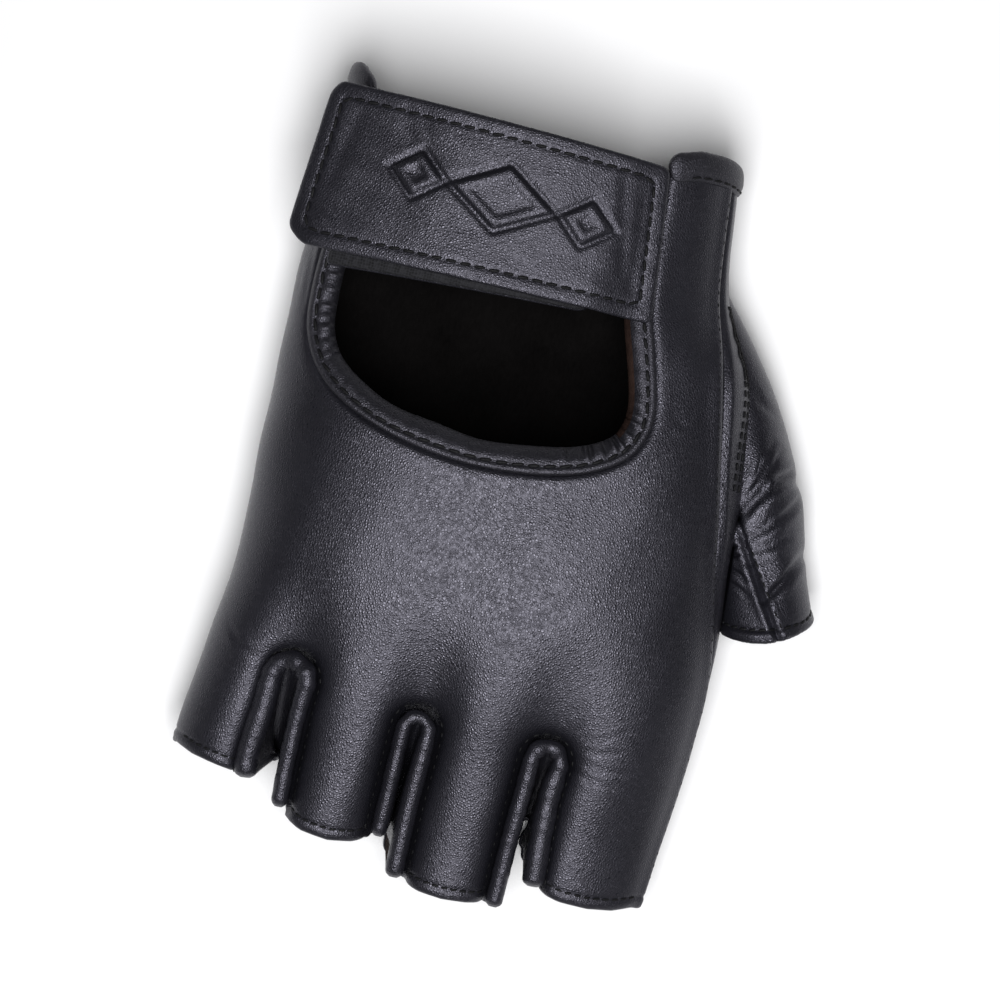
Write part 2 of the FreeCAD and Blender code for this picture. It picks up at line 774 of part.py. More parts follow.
def arched_sheet(name, under_alias, top_alias, face):
    """A sheet bent round the strap's axis: a tube's wall within a shape in plan."""
    outer = cylinder_along_hand(f"{name}_outer", top_alias)
    inner = cylinder_along_hand(f"{name}_inner", under_alias)
    tube = combine("Part::Cut", f"{name}_tube", outer, inner)
    plan = plan_prism(f"{name}_plan", face, 60, 120)
    sheet = combine("Part::Common", name, tube, plan)
    slope = Rotation(Vector(1, 0, 0), size("strap_slope"))
    rise = Vector(0, 0, size("strap_top"))
    middle = Vector(size("strap_x"), size("strap_y"), size("strap_axis")) + rise
    sheet.Placement = Placement(middle - slope.multVec(rise), slope)
    return sheet


def ring_face(outline_at, inset):
    width = size("thread_width")
    return polygon_face(outline_at(inset)).cut(polygon_face(outline_at(inset + width)))


def strap_pieces():
    margin = size("stitch_margin")
    leather = polygon_face(strap_outline(0))
    return [
        arched_sheet("strap_leather", "strap_under", "strap_top", leather),
        arched_sheet("strap_backing", "backing_under", "backing_top", polygon_face(strap_outline(0.6))),
        arched_sheet("hook_tape", "hook_under", "hook_top", polygon_face(hook_outline())),
        arched_sheet("strap_thread", "stitch_under", "stitch_top", ring_face(strap_outline, margin)),
    ]


def tab_pieces():
    loop = polygon_face(tab_outline(size("loop_margin")))
    return [
        arched_sheet("tab_leather", "tab_under", "tab_top", polygon_face(tab_outline(0))),
        arched_sheet("loop_tape", "loop_under", "loop_top", loop),
    ]


# ---------------------------------------------------------------- the glove


def glove_pieces():
    thumb_core = tube_solid("thumb_core", thumb_point, 0.15, size("thumb_root_y"), size("thumb_end_y"))
    hand_core = tube_solid("hand_core", form_point, size("gap"), size("band_edge"), size("tip_y"))
    pieces = [back_panel(), palm_panel(thumb_core)]
    pieces += [sidewall(slit) for slit in SLITS]
    pieces.append(thumb_half("thumb_outer", lambda y: thumb_seam(y) + 0.6, lambda y: 269.4, hand_core))
    pieces.append(thumb_half("thumb_inner", lambda y: -89.4, lambda y: thumb_seam(y) - 0.6, hand_core))
    pieces += [opening_binding(), wrist_binding(), opening_thread(), wrist_thread()]
    pieces += seam_threads() + thumb_threads() + hem_threads()
    pieces += [slit_thread(slit) for slit in SLITS]
    return pieces + strap_pieces() + tab_pieces()


def check_document(pieces):
    """Stop if any object failed to compute or any piece isn't one sound solid."""
    for item in doc.Objects:
        if "Invalid" in item.State or "Error" in item.State:
            raise RuntimeError(f"{item.Name} failed: {item.State}")
    for piece in pieces:
        shape = piece.Shape
        if shape.isNull() or not shape.isValid() or len(shape.Solids) != 1:
            raise RuntimeError(f"{piece.Name} is not one sound solid")


def settle_on_origin(pieces):
    """Move every piece so that the glove's origin is the middle of the area it lies on."""
    whole = FreeCAD.BoundBox()
    for piece in pieces:
        whole.add(piece.Shape.optimalBoundingBox(False))
    shift = Vector(-whole.Center.x, -whole.Center.y, -whole.ZMin)
    for piece in pieces:
        piece.Placement.Base = piece.Placement.Base + shift
    doc.recompute()
    return shift


def build():
    fill_sheet()
    pieces = glove_pieces()
    doc.recompute()
    check_document(pieces)
    shift = settle_on_origin(pieces)
    check_document(pieces)
    os.makedirs("parts", exist_ok=True)
    for piece in pieces:
        piece.Label = piece.Name
        piece.Shape.exportStep(f"parts/{piece.Name}.step")
    print(f"{len(pieces)} pieces, shifted by {shift.x:.3f}, {shift.y:.3f}, {shift.z:.3f}")


if __name__ == "__main__":
    build()
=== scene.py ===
"""Looks of a right-hand fingerless leather glove that lies on its palm.

The leather follows the same hollow form as the CAD model, in its millimetres, and is moved into
the row frame at the end. Panels are flat outlines filled with triangles and laid on the form.
"""
import json
import math

import bmesh
import bpy
import numpy as np
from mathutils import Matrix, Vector
from mathutils.geometry import delaunay_2d_cdt
from mathutils.kdtree import KDTree


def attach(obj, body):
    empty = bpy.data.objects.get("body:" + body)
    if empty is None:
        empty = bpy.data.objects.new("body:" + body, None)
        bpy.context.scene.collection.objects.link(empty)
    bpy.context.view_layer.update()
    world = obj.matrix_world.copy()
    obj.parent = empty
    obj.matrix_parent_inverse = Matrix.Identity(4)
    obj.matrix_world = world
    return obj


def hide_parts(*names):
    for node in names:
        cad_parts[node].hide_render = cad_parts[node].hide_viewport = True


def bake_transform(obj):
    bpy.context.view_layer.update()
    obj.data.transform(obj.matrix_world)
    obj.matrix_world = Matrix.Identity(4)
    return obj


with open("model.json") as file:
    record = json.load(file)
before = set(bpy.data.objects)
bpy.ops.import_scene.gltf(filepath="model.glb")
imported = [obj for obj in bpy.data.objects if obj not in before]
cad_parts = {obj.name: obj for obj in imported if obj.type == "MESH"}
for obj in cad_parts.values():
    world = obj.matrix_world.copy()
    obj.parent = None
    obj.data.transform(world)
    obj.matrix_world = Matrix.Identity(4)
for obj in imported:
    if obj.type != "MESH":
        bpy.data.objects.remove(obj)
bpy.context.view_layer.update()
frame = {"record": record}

# The palm rest is 2 mm to the thumb side of the form's origin.
REST = next(mount for mount in frame["record"]["mounts"] if mount["name"] == "palm_rest")
SHIFT = np.array(REST["pos_m"]) * 1000 - np.array([2.0, 0.0, 0.0])


def to_row(points):
    """Form millimetres to row-frame metres."""
    return (np.asarray(points, float) + SHIFT) / 1000


# ---- the hollow form, mm

LEATHER = 1.2
GRID = np.arange(-96.0, 96.0, 0.25)
RIM_TURNS = [math.radians(turn) for turn in (45, 90, 135)]


def curve_value(places, values, at):
    """A smooth curve through values at falling places, straight on past its first end."""
    if at >= places[0]:
        return values[0] + (at - places[0]) * (values[1] - values[0]) / (places[1] - places[0])
    if at <= places[-1]:
        return values[-1]
    i = next(k for k in range(len(places) - 1) if places[k + 1] <= at)

    def slope(k):
        a, b = max(k - 1, 0), min(k + 1, len(places) - 1)
        return (values[b] - values[a]) / (places[b] - places[a])

    span = places[i + 1] - places[i]
    s = (at - places[i]) / span
    return (
        (2 * s**3 - 3 * s**2 + 1) * values[i]
        + (s**3 - 2 * s**2 + s) * span * slope(i)
        + (3 * s**2 - 2 * s**3) * values[i + 1]
        + (s**3 - s**2) * span * slope(i + 1)
    )


def tabled(places, columns):
    return {name: np.array([curve_value(places, v, y) for y in GRID]) for name, v in columns.items()}


HAND = tabled(
    [74, 52, 34, 6, -30, -82],
    {
        "ulnar": [-44.8, -45.2, -45.6, -44.0, -43.2, -47.6],
        "radial": [36, 40, 49.4, 53.4, 56.2, 54],
        "top": [38, 38.5, 39.6, 41.5, 39, 26.5],
        "wide": [18, 18, 18, 18, 17, 14],
        "bottom": [2.0, 0.6, -0.4, -0.5, -0.5, 1.9],
        "lift": [14, 17, 30, 22, 6, 3],
    },
)
THUMB = tabled(
    [54, 30, 10, -16],
    {
        "x": [36.5, 48.8, 57.6, 66.6],
        "z": [15, 11.5, 11.9, 12.2],
        "half": [3, 9.7, 10.0, 10.6],
        "tall": [4, 10.6, 11.2, 10.9],
        "seam": [61, 61, 61, 112],
    },
)
# The middle lines of each slit's two rolled edges, as (y, x) from the crotch to the fingertips.
SLITS = {
    "ring_little": {
        "left": [(-44, -29.2), (-50, -29.2), (-61, -29.8), (-65.4, -29.2)],
        "right": [(-44, -21.9), (-50, -22.1), (-60, -21.8), (-69.2, -21.2)],
    },
    "middle_ring": {
        "left": [(-47.2, -1.0), (-54, -0.9), (-61, -0.7), (-69.8, -0.5)],
        "right": [(-47.2, 4.0), (-53, 4.0), (-62, 4.0), (-77.0, 4.6)],
    },
    "index_middle": {
        "left": [(-46.6, 25.2), (-53, 25.3), (-60, 25.2), (-77.6, 25.4)],
        "right": [(-46.6, 31.0), (-52, 30.6), (-60, 31.0), (-71.6, 32.1)],
    },
}
SLIT_MIDDLES = {"ring_little": -25.6, "middle_ring": 1.6, "index_middle": 28.2}
# Each finger's end, as (x, y) across the back.
FINGER_ENDS = {
    "little": [(-47, -61.0), (-44, -62.2), (-41, -63.2), (-36, -64.0), (-31, -64.6)],
    "ring": [(-20, -70.6), (-16, -72.2), (-10, -72.7), (-5, -71.9), (-2, -70.7)],
    "middle": [(5, -76.9), (10, -78.0), (15, -78.2), (20, -77.7), (24, -77.0)],
    "index": [(33, -72.1), (38, -72.9), (44, -72.9), (49, -72.1), (53, -70.5), (57, -68.9)],
}
# The opening's edge, from the little-finger side of the wrist round to the thumb side.
OPENING = [
    (-39.8, 84), (-40.6, 60), (-41.4, 45), (-41.5, 34), (-40.2, 24.5), (-35.6, 16.8), (-28, 11.6), (-17, 8.1),
    (-4, 6.7), (9, 7.7), (20, 10.6), (27.5, 15.2), (30.7, 20.6), (31, 27), (28.2, 37), (25, 47),
    (23, 60), (21.2, 84),
]


def hand(column, y):
    """One of the hand's sizes at y, and so for the thumb's."""
    return np.interp(y, GRID, HAND[column])


def thumb(column, y):
    return np.interp(y, GRID, THUMB[column])


def signed_power(base, power):
    return np.sign(base) * np.abs(base) ** power


def smooth(share):
    share = np.clip(share, 0, 1)
    return share * share * (3 - 2 * share)


def bump(distance, width):
    return np.exp(-((distance / width) ** 2))


def wobble(x, y, wavelength, seed):
    """Even, gentle noise of about unit height, the same each time for one seed."""
    random = np.random.default_rng(seed)
    total = np.zeros(np.broadcast(x, y).shape)
    for _ in range(7):
        heading, phase, stretch = random.uniform(0, 2 * math.pi, 2).tolist() + [random.uniform(0.7, 1.6)]
        pace = 2 * math.pi / (wavelength * stretch)
        total += np.sin((x * math.cos(heading) + y * math.sin(heading)) * pace + phase)
    return total / 2.6


def section_at(y, upper, ulnar):
    """The section's middle, half width, widest height, half height and power where y, z and x say."""
    low, high, wide = hand("ulnar", y), hand("radial", y), hand("wide", y)
    power = np.where(upper, 2.5, np.where(ulnar, 3.0, 2.1))
    tall = np.where(upper, hand("top", y) - wide, wide - hand("bottom", y))
    return (low + high) / 2, (high - low) / 2, wide, tall, power


def form(y, angle):
    """The leather's outer form: 0 is the little-finger side, 90 the back, 180 the thumb side."""
    turn = np.radians(angle)
    across, up = np.cos(turn), np.sin(turn)
    middle, half, wide, tall, power = section_at(y, up >= 0, across > 0)
    x = middle - half * signed_power(across, 2 / power)
    z = wide + tall * signed_power(up, 2 / power)
    ramp = smooth((-16 - y) / 36)
    dips = sum(bump(x - slit, 7.0) for slit in SLIT_MIDDLES.values())
    z = z - 4.6 * ramp * dips * np.clip(up, 0, 1)
    return np.stack(np.broadcast_arrays(x, y, np.maximum(z, 0.0)), -1)


def thumb_form(y, angle):
    turn = np.radians(angle)
    x = thumb("x", y) - thumb("half", y) * np.cos(turn)
    z = thumb("z", y) + thumb("tall", y) * np.sin(turn)
    return np.stack(np.broadcast_arrays(x, y, z), -1)


def arc_length(angle, radius):
    """Millimetres along a section of about the given radius for an angle in degrees."""
    return np.radians(angle) * radius


def unit(vectors):
    return vectors / np.maximum(np.linalg.norm(vectors, axis=-1, keepdims=True), 1e-9)


def outward(surface, y, angle):
    """Unit normals of a surface given by y and angle."""
    around = surface(y, angle + 0.6) - surface(y, angle - 0.6)
    along = surface(y + 0.6, angle) - surface(y - 0.6, angle)
    return unit(np.cross(around, along))


class Sections:
    """Turns flat panel places (length round the section from a middle line, y) into form angles."""

    def __init__(self, middle):
        self.ys = np.arange(-90.0, 86.0, 1.0)
        self.angles = np.linspace(-30, 390, 841)
        y, angle = np.meshgrid(self.ys, self.angles, indexing="ij")
        points = form(y, angle)
        steps = np.linalg.norm(np.diff(points, axis=1), axis=2)
        length = np.concatenate([np.zeros((len(self.ys), 1)), np.cumsum(steps, 1)], 1)
        at = int(np.argmin(np.abs(self.angles - middle)))
        self.length = length - length[:, at : at + 1]
        self.side = 1 if middle < 180 else -1
        low, high = np.searchsorted(self.angles, [0, 180] if middle < 180 else [180, 360])
        self.span = slice(low, high + 1)
        self.x = points[:, self.span, 0] * self.side

    def read(self, key, v, source, target):
        """Looks up target by source in the two rows beside each y, and goes between them."""
        place = np.clip(v - self.ys[0], 0, len(self.ys) - 1.001)
        row = place.astype(int)
        share = place - row
        out = np.empty(len(v))
        for r in np.unique(row):
            chosen = row == r
            a = np.interp(key[chosen], source(r), target(r))
            b = np.interp(key[chosen], source(r + 1), target(r + 1))
            out[chosen] = a + (b - a) * share[chosen]
        return out

    def angle(self, u, v):
        """The form's angle at flat places."""
        return self.read(u, v, lambda r: self.length[r], lambda r: self.angles)

    def from_angle(self, angle, v):
        """Flat places of form angles."""
        angle, v = np.broadcast_arrays(np.asarray(angle, float), np.asarray(v, float))
        u = self.read(angle, v, lambda r: self.angles, lambda r: self.length[r])
        return np.column_stack([u, v])

    def from_plan(self, plan):
        """Flat places of (x, y) points on this panel's side of the hand."""
        x, v = plan[:, 0] * self.side, plan[:, 1]
        u = self.read(x, v, lambda r: self.x[r], lambda r: self.length[r, self.span])
        return np.column_stack([u, v])


BACK, PALM = Sections(90), Sections(270)


# ---- lines in plan


def resample(line, pitch):
    """Points a pitch apart along a line, in any number of dimensions, both ends kept."""
    line = np.asarray(line, float)
    steps = np.linalg.norm(np.diff(line, axis=0), axis=1)
    length = np.concatenate([[0], np.cumsum(steps)])
    count = max(int(round(length[-1] / pitch)), 1) + 1
    at = np.linspace(0, length[-1], count)
    return np.column_stack([np.interp(at, length, line[:, k]) for k in range(line.shape[1])])


def smooth_line(points, pitch):
    """A smooth line through a few points."""
    p = np.asarray(points, float)
    p = np.vstack([2 * p[0] - p[1], p, 2 * p[-1] - p[-2]])
    pieces = []
    for a, b, c, d in zip(p, p[1:], p[2:], p[3:]):
        t = np.linspace(0, 1, 24, endpoint=False)[:, None]
        pieces.append(
            0.5 * (2 * b + (c - a) * t + (2 * a - 5 * b + 4 * c - d) * t**2 + (3 * b - a - 3 * c + d) * t**3)
        )
    pieces.append(p[-2:-1])
    return resample(np.vstack(pieces), pitch)


def length_of(line):
    return np.linalg.norm(np.diff(line, axis=0), axis=1).sum()


def averaged(values, count):
    """Each value's average with its neighbours, an odd count in all."""
    padded = np.pad(values, count // 2, "edge")
    return np.convolve(padded, np.ones(count) / count, "valid")


def line_normals(line):
    """Unit normals of a plan line, to the left of its direction."""
    ahead = np.gradient(line, axis=0)
    return unit(np.column_stack([-ahead[:, 1], ahead[:, 0]]))


def slit_line(name, offset=0.0, pitch=0.7):
    """The middle line of a slit's rolled edge, up one side and down the other, moved outwards."""
    left, right = SLITS[name]["left"], SLITS[name]["right"]
    y_top = left[0][0]
    legs = []
    for points in (left, right):
        places, values = zip(*points)
        ys = np.linspace(y_top, places[-1], 40)
        legs.append(np.column_stack([[curve_value(places, values, y) for y in ys], ys]))
    centre, radius = (left[0][1] + right[0][1]) / 2, (right[0][1] - left[0][1]) / 2
    turn = np.radians(np.linspace(180, 0, 24))
    arc = np.column_stack([centre + radius * np.cos(turn), y_top + radius * 1.12 * np.sin(turn)])
    line = resample(np.vstack([legs[0][::-1], arc[1:-1], legs[1]]), pitch)
    return line + line_normals(line) * offset


def closed_line(outline):
    return np.vstack([outline, outline[:1]])


def finger_end(finger, x):
    """The y of a finger's end across the back."""
    points = np.array(FINGER_ENDS[finger])
    return np.interp(x, points[:, 0], points[:, 1])


def distance_to(points, line):
    """Distance from points to a line, and how far along the line the nearest place is."""
    best, along, start = np.full(len(points), 1e9), np.zeros(len(points)), 0.0
    for a, b in zip(line[:-1], line[1:]):
        step = b - a
        length = np.hypot(*step)
        share = np.clip(((points - a) @ step) / max(length**2, 1e-12), 0, 1)
        gap = np.hypot(*(points - a - share[:, None] * step).T)
        nearer = gap < best
        best[nearer] = gap[nearer]
        along[nearer] = start + share[nearer] * length
        start += length
    return best, along


def inside(points, loop):
    """Which points lie inside a closed loop."""
    result = np.zeros(len(points), bool)
    x, y = points[:, 0], points[:, 1]
    for (ax, ay), (bx, by) in zip(loop, np.roll(loop, -1, axis=0)):
        crosses = (ay > y) != (by > y)
        if crosses.any():
            limit = ax + (y - ay) * (bx - ax) / (by - ay if by != ay else 1e-12)
            result ^= crosses & (x < limit)
    return result


# ---- meshes


def faces_inwards(mesh):
    """Whether a closed mesh's faces look into it."""
    shape = bmesh.new()
    shape.from_mesh(mesh)
    volume = shape.calc_volume(signed=True)
    shape.free()
    return volume < 0


def make_object(name, points, faces, materials, chosen=None):
    """A piece from form points and faces; chosen gives each face its material's number."""
    mesh = bpy.data.meshes.new(name)
    mesh.from_pydata(to_row(points).tolist(), [], [list(map(int, face)) for face in faces])
    for material in materials:
        mesh.materials.append(material)
    if chosen is not None:
        mesh.polygons.foreach_set("material_index", np.asarray(chosen, np.int32))
    mesh.polygons.foreach_set("use_smooth", np.ones(len(mesh.polygons), bool))
    if faces_inwards(mesh):
        mesh.flip_normals()
    mesh.update()
    piece = bpy.data.objects.new(name, mesh)
    bpy.context.scene.collection.objects.link(piece)
    return piece


def grid_quads(rows, columns, closed=False):
    """Four-cornered faces of a grid of points, whose rows may be closed rings."""
    r, c = np.arange(rows - 1), np.arange(columns if closed else columns - 1)
    r, c = (part.ravel() for part in np.meshgrid(r, c, indexing="ij"))
    beside = (c + 1) % columns
    below = (r + 1) * columns
    return np.column_stack([r * columns + c, r * columns + beside, below + beside, below + c])


def sweep(name, rings, materials, chosen=None):
    """A closed tube through rings of points; its two ends take the last material."""
    rows, columns = rings.shape[:2]
    faces = [tuple(face) for face in grid_quads(rows, columns, closed=True)]
    faces.append(tuple(range(columns))[::-1])
    faces.append(tuple(range((rows - 1) * columns, rows * columns)))
    indices = None
    if chosen is not None:
        indices = [chosen(row, column) for row in range(rows - 1) for column in range(columns)]
        indices += [len(materials) - 1] * 2
    return make_object(name, rings.reshape(-1, 3), faces, materials, indices)


def signed_area(loop):
    x, y = loop[:, 0], loop[:, 1]
    return 0.5 * np.sum(x * np.roll(y, -1) - np.roll(x, -1) * y)


def densified(loop, longest=1.0):
    """The loop with points added on its long edges."""
    points = []
    for a, b in zip(loop, np.roll(loop, -1, 0)):
        parts = max(int(math.ceil(np.linalg.norm(b - a) / longest)), 1)
        points += [a + (b - a) * k / parts for k in range(parts)]
    points = np.array(points)
    keep = np.linalg.norm(points - np.roll(points, 1, 0), axis=1) > 0.12
    return points[keep]


def lattice(low, high, spacing):
    columns = np.arange(low[0], high[0], spacing)
    rows = np.arange(low[1], high[1], spacing * 0.866)
    x, y = np.meshgrid(columns, rows)
    x = x + (np.arange(len(rows)) % 2)[:, None] * spacing / 2
    return np.column_stack([x.ravel(), y.ravel()])


def within(points, loops):
    keep = inside(points, loops[0])
    for hole in loops[1:]:
        keep &= ~inside(points, hole)
    return keep


def gaps_to(points, others):
    tree = KDTree(len(others))
    for i, p in enumerate(others):
        tree.insert((p[0], p[1], 0), i)
    tree.balance()
    return np.array([tree.find((p[0], p[1], 0))[2] for p in points])


def fill(loops, spacing, fine=0.5, margin=3.6):
    """Triangles inside the first loop and outside the others, finer beside the loops."""
    loops = [densified(loop, 0.9) for loop in loops]
    loops = [loop[::-1] if (signed_area(loop) < 0) == (k == 0) else loop for k, loop in enumerate(loops)]
    edges, rings, start = [], [], 0
    for loop in loops:
        ring = list(range(start, start + len(loop)))
        rings.append(ring)
        edges += list(zip(ring, ring[1:] + ring[:1]))
        start += len(loop)
    border = np.vstack(loops)
    low, high = border.min(0), border.max(0)
    wide = lattice(low, high, spacing)
    wide = wide[within(wide, loops)]
    wide = wide[gaps_to(wide, border) > margin]
    close = lattice(low, high, fine)
    close = close[within(close, loops)]
    gap = gaps_to(close, border)
    close = close[(gap > 0.4) & (gap <= margin - 0.3 * spacing)]
    points = np.vstack([border, wide, close])
    found = delaunay_2d_cdt([Vector(p) for p in points], edges, [], 0, 1e-5, False)
    points = np.array([tuple(v) for v in found[0]])
    triangles = np.array(found[2])
    a, b, c = points[triangles].transpose(1, 0, 2)
    area = (b[:, 0] - a[:, 0]) * (c[:, 1] - a[:, 1]) - (b[:, 1] - a[:, 1]) * (c[:, 0] - a[:, 0])
    keep = within(points[triangles].mean(1), loops) & (np.abs(area) > 1e-3)
    return points, triangles[keep], rings


def vertex_normals(points, triangles):
    a, b, c = points[triangles].transpose(1, 0, 2)
    total = np.zeros_like(points)
    np.add.at(total, triangles, np.cross(b - a, c - a)[:, None])
    return unit(total)


def add_rim(points, faces, top_ring, under_ring, out):
    """Joins a sheet's two outlines by a rounded edge that stands out between them."""
    size = sum(len(part) for part in points)
    edge, below = points[0][top_ring], points[1][under_ring - len(points[0])]
    thick = np.linalg.norm(edge - below, axis=1, keepdims=True)
    chain = [top_ring]
    for turn in RIM_TURNS:
        points.append(edge + (below - edge) * (1 - math.cos(turn)) / 2 + out * thick * math.sin(turn) / 2)
        chain.append(np.arange(size, size + len(edge)))
        size += len(edge)
    chain.append(under_ring)
    for a, b in zip(chain, chain[1:]):
        faces += [tuple(face) for face in np.column_stack([a, b, np.roll(b, -1), np.roll(a, -1)])]


def two_sided(name, points, triangles, rings, outs, materials):
    """A closed sheet of a top and an underside, with a rim along each ring of its border."""
    count = len(points[0])
    faces = [tuple(face) for face in triangles] + [tuple(face[::-1] + count) for face in triangles]
    chosen = [0] * len(triangles) + [1] * len(triangles)
    for ring, out in zip(rings, outs):
        add_rim(points, faces, ring, ring + count, out)
    chosen += [0] * (len(faces) - len(chosen))
    return make_object(name, np.vstack(points), faces, materials, chosen)


def ring_steps(ring_points):
    """The direction along a closed line at each of its points."""
    return unit(np.roll(ring_points, -1, 0) - np.roll(ring_points, 1, 0))


def leather_sheet(name, loops, surface, materials, spacing=0.9, thickness=LEATHER):
    """A panel with rounded edges: a filled outline on a surface that gives points and normals."""
    flat, triangles, rings = fill(loops, spacing)
    top, _ = surface(flat)
    normals = vertex_normals(top, triangles)
    rings = [np.array(ring) for ring in rings]
    outs = [unit(np.cross(ring_steps(top[ring]), normals[ring])) for ring in rings]
    return two_sided(name, [top, top - normals * thickness], triangles, rings, outs, materials)


# ---- materials


class Nodes:
    """Short names for the shader nodes of one material."""

    def __init__(self, name):
        self.material = bpy.data.materials.new(name)
        self.material.use_nodes = True
        self.tree = self.material.node_tree
        self.shader = self.tree.nodes["Principled BSDF"]
        self.place = self.tree.nodes.new("ShaderNodeTexCoord").outputs["Object"]

    def feed(self, socket, value):
        """Links an output to the socket, or sets a plain value on it."""
        if isinstance(value, bpy.types.NodeSocket):
            self.tree.links.new(value, socket)
        else:
            socket.default_value = value

    def node(self, kind, **inputs):
        made = self.tree.nodes.new(kind)
        for key, value in inputs.items():
            self.feed(made.inputs[key.replace("_", " ")], value)
        return made

    def noise(self, scale, detail, rough, stretch=None):
        made = self.node("ShaderNodeTexNoise", Scale=scale, Detail=detail, Roughness=rough)
        place = self.place
        if stretch is not None:
            place = self.node("ShaderNodeMapping", Vector=place, Scale=stretch).outputs["Vector"]
        self.feed(made.inputs["Vector"], place)
        return made.outputs["Fac"]

    def cells(self, scale, feature, randomness=1.0):
        made = self.tree.nodes.new("ShaderNodeTexVoronoi")
        made.feature = feature
        for key, value in (("Scale", scale), ("Randomness", randomness), ("Vector", self.place)):
            self.feed(made.inputs[key], value)
        return made.outputs["Distance"]

    def scaled(self, value, low, high, to_low, to_high):
        """The value moved from one range to another."""
        made = self.node("ShaderNodeMapRange", Value=value)
        for key, number in (("From Min", low), ("From Max", high), ("To Min", to_low), ("To Max", to_high)):
            made.inputs[key].default_value = number
        return made.outputs["Result"]

    def math(self, kind, a, b):
        made = self.tree.nodes.new("ShaderNodeMath")
        made.operation = kind
        self.feed(made.inputs[0], a)
        self.feed(made.inputs[1], b)
        return made.outputs[0]

    def blend(self, a, share_a, b, share_b):
        return self.math("ADD", self.math("MULTIPLY", a, share_a), self.math("MULTIPLY", b, share_b))

    def ramp(self, value, stops):
        made = self.node("ShaderNodeValToRGB", Fac=value)
        elements = made.color_ramp.elements
        while len(elements) < len(stops):
            elements.new(0.5)
        for element, (at, colour) in zip(elements, stops):
            element.position = at
            element.color = (*colour, 1)
        return made.outputs["Color"]

    def bumps(self, *layers):
        """Bump layers of (height, strength, distance in metres), the broadest first."""
        normal = None
        for height, strength, distance in layers:
            made = self.node("ShaderNodeBump", Height=height, Strength=strength, Distance=distance)
            if normal is not None:
                self.tree.links.new(normal, made.inputs["Normal"])
            normal = made.outputs["Normal"]
        self.tree.links.new(normal, self.shader.inputs["Normal"])

    def wire(self, **inputs):
        """Feeds the shader's own sockets and gives the finished material."""
        for key, value in inputs.items():
            self.feed(self.shader.inputs[key.replace("_", " ")], value)
        return self.material


def leather(name, dark, light, rough, grain=1.0):
    """Pebbled black leather: small cells with soft furrows, pores, faint creases and wear; its colour is
    darker in the furrows as painted shade.
    """
    made = Nodes(name)
    furrows = made.scaled(made.cells(2000, "DISTANCE_TO_EDGE"), 0.0, 0.5, 0.0, 1.0)
    fine = made.cells(4200, "SMOOTH_F1")
    broad = made.noise(90, 2, 0.5)
    creases = made.noise(420, 3, 0.55, (1.0, 0.6, 1.0))
    wear = made.noise(34, 5, 0.62)
    patch = made.noise(16, 2, 0.5)
    # Colour: a random wear tone, and darker in the furrows between the pebbles as painted shade.
    colour = made.ramp(made.blend(wear, 0.65, furrows, 0.22), [(0.25, dark), (0.62, light)])
    shine = made.blend(wear, 0.07, patch, 0.08)
    shine = made.math("SUBTRACT", shine, made.math("MULTIPLY", furrows, 0.24))
    made.bumps(
        (broad, 0.04, 0.0005),
        (creases, 0.022, 0.0002),
        (furrows, 1.0 * grain, 0.000062),
        (fine, 0.25 * grain, 0.000015),
    )
    return made.wire(
        Base_Color=colour,
        Roughness=made.math("ADD", shine, rough + 0.13),
        IOR=1.4,
        Specular_IOR_Level=1.0,
        Specular_Tint=(0.86, 0.84, 1.0, 1.0),
    )


def suede(name, dark, light):
    """The leather's flesh side: short matted fibres."""
    made = Nodes(name)
    nap = made.noise(1500, 6, 0.75, (1.0, 0.4, 1.0))
    blotch = made.noise(70, 4, 0.6)
    colour = made.ramp(made.blend(nap, 0.5, blotch, 0.5), [(0.35, dark), (0.68, light)])
    made.bumps((blotch, 0.3, 0.0005), (nap, 0.7, 0.00025))
    rough = made.scaled(nap, 0.3, 0.7, 0.82, 0.97)
    return made.wire(Base_Color=colour, Roughness=rough, IOR=1.12, Specular_IOR_Level=0.3)


def cotton(name, dark, light):
    """Twisted sewing thread: slanting plies with loose fibres."""
    made = Nodes(name)
    twist = made.noise(3800, 3, 0.6, (1.0, 0.3, 0.5))
    fuzz = made.noise(1200, 4, 0.7)
    colour = made.ramp(twist, [(0.35, dark), (0.7, light)])
    made.bumps((twist, 0.8, 0.00012), (fuzz, 0.4, 0.0001))
    rough = made.scaled(fuzz, 0.3, 0.7, 0.55, 0.8)
    return made.wire(Base_Color=colour, Roughness=rough, Specular_IOR_Level=0.25)


def tape(name, dark, light, scale):
    """Woven hook-and-loop tape under its hooks or pile."""
    made = Nodes(name)
    weave = made.cells(scale, "F1", 0.35)
    fuzz = made.noise(2400, 5, 0.75)
    colour = made.ramp(made.blend(weave, 0.6, fuzz, 0.5), [(0.3, dark), (0.75, light)])
    made.bumps((weave, 0.7, 0.0003), (fuzz, 0.6, 0.0002))
    rough = made.scaled(fuzz, 0.3, 0.7, 0.7, 0.95)
    return made.wire(Base_Color=colour, Roughness=rough, Specular_IOR_Level=0.3)


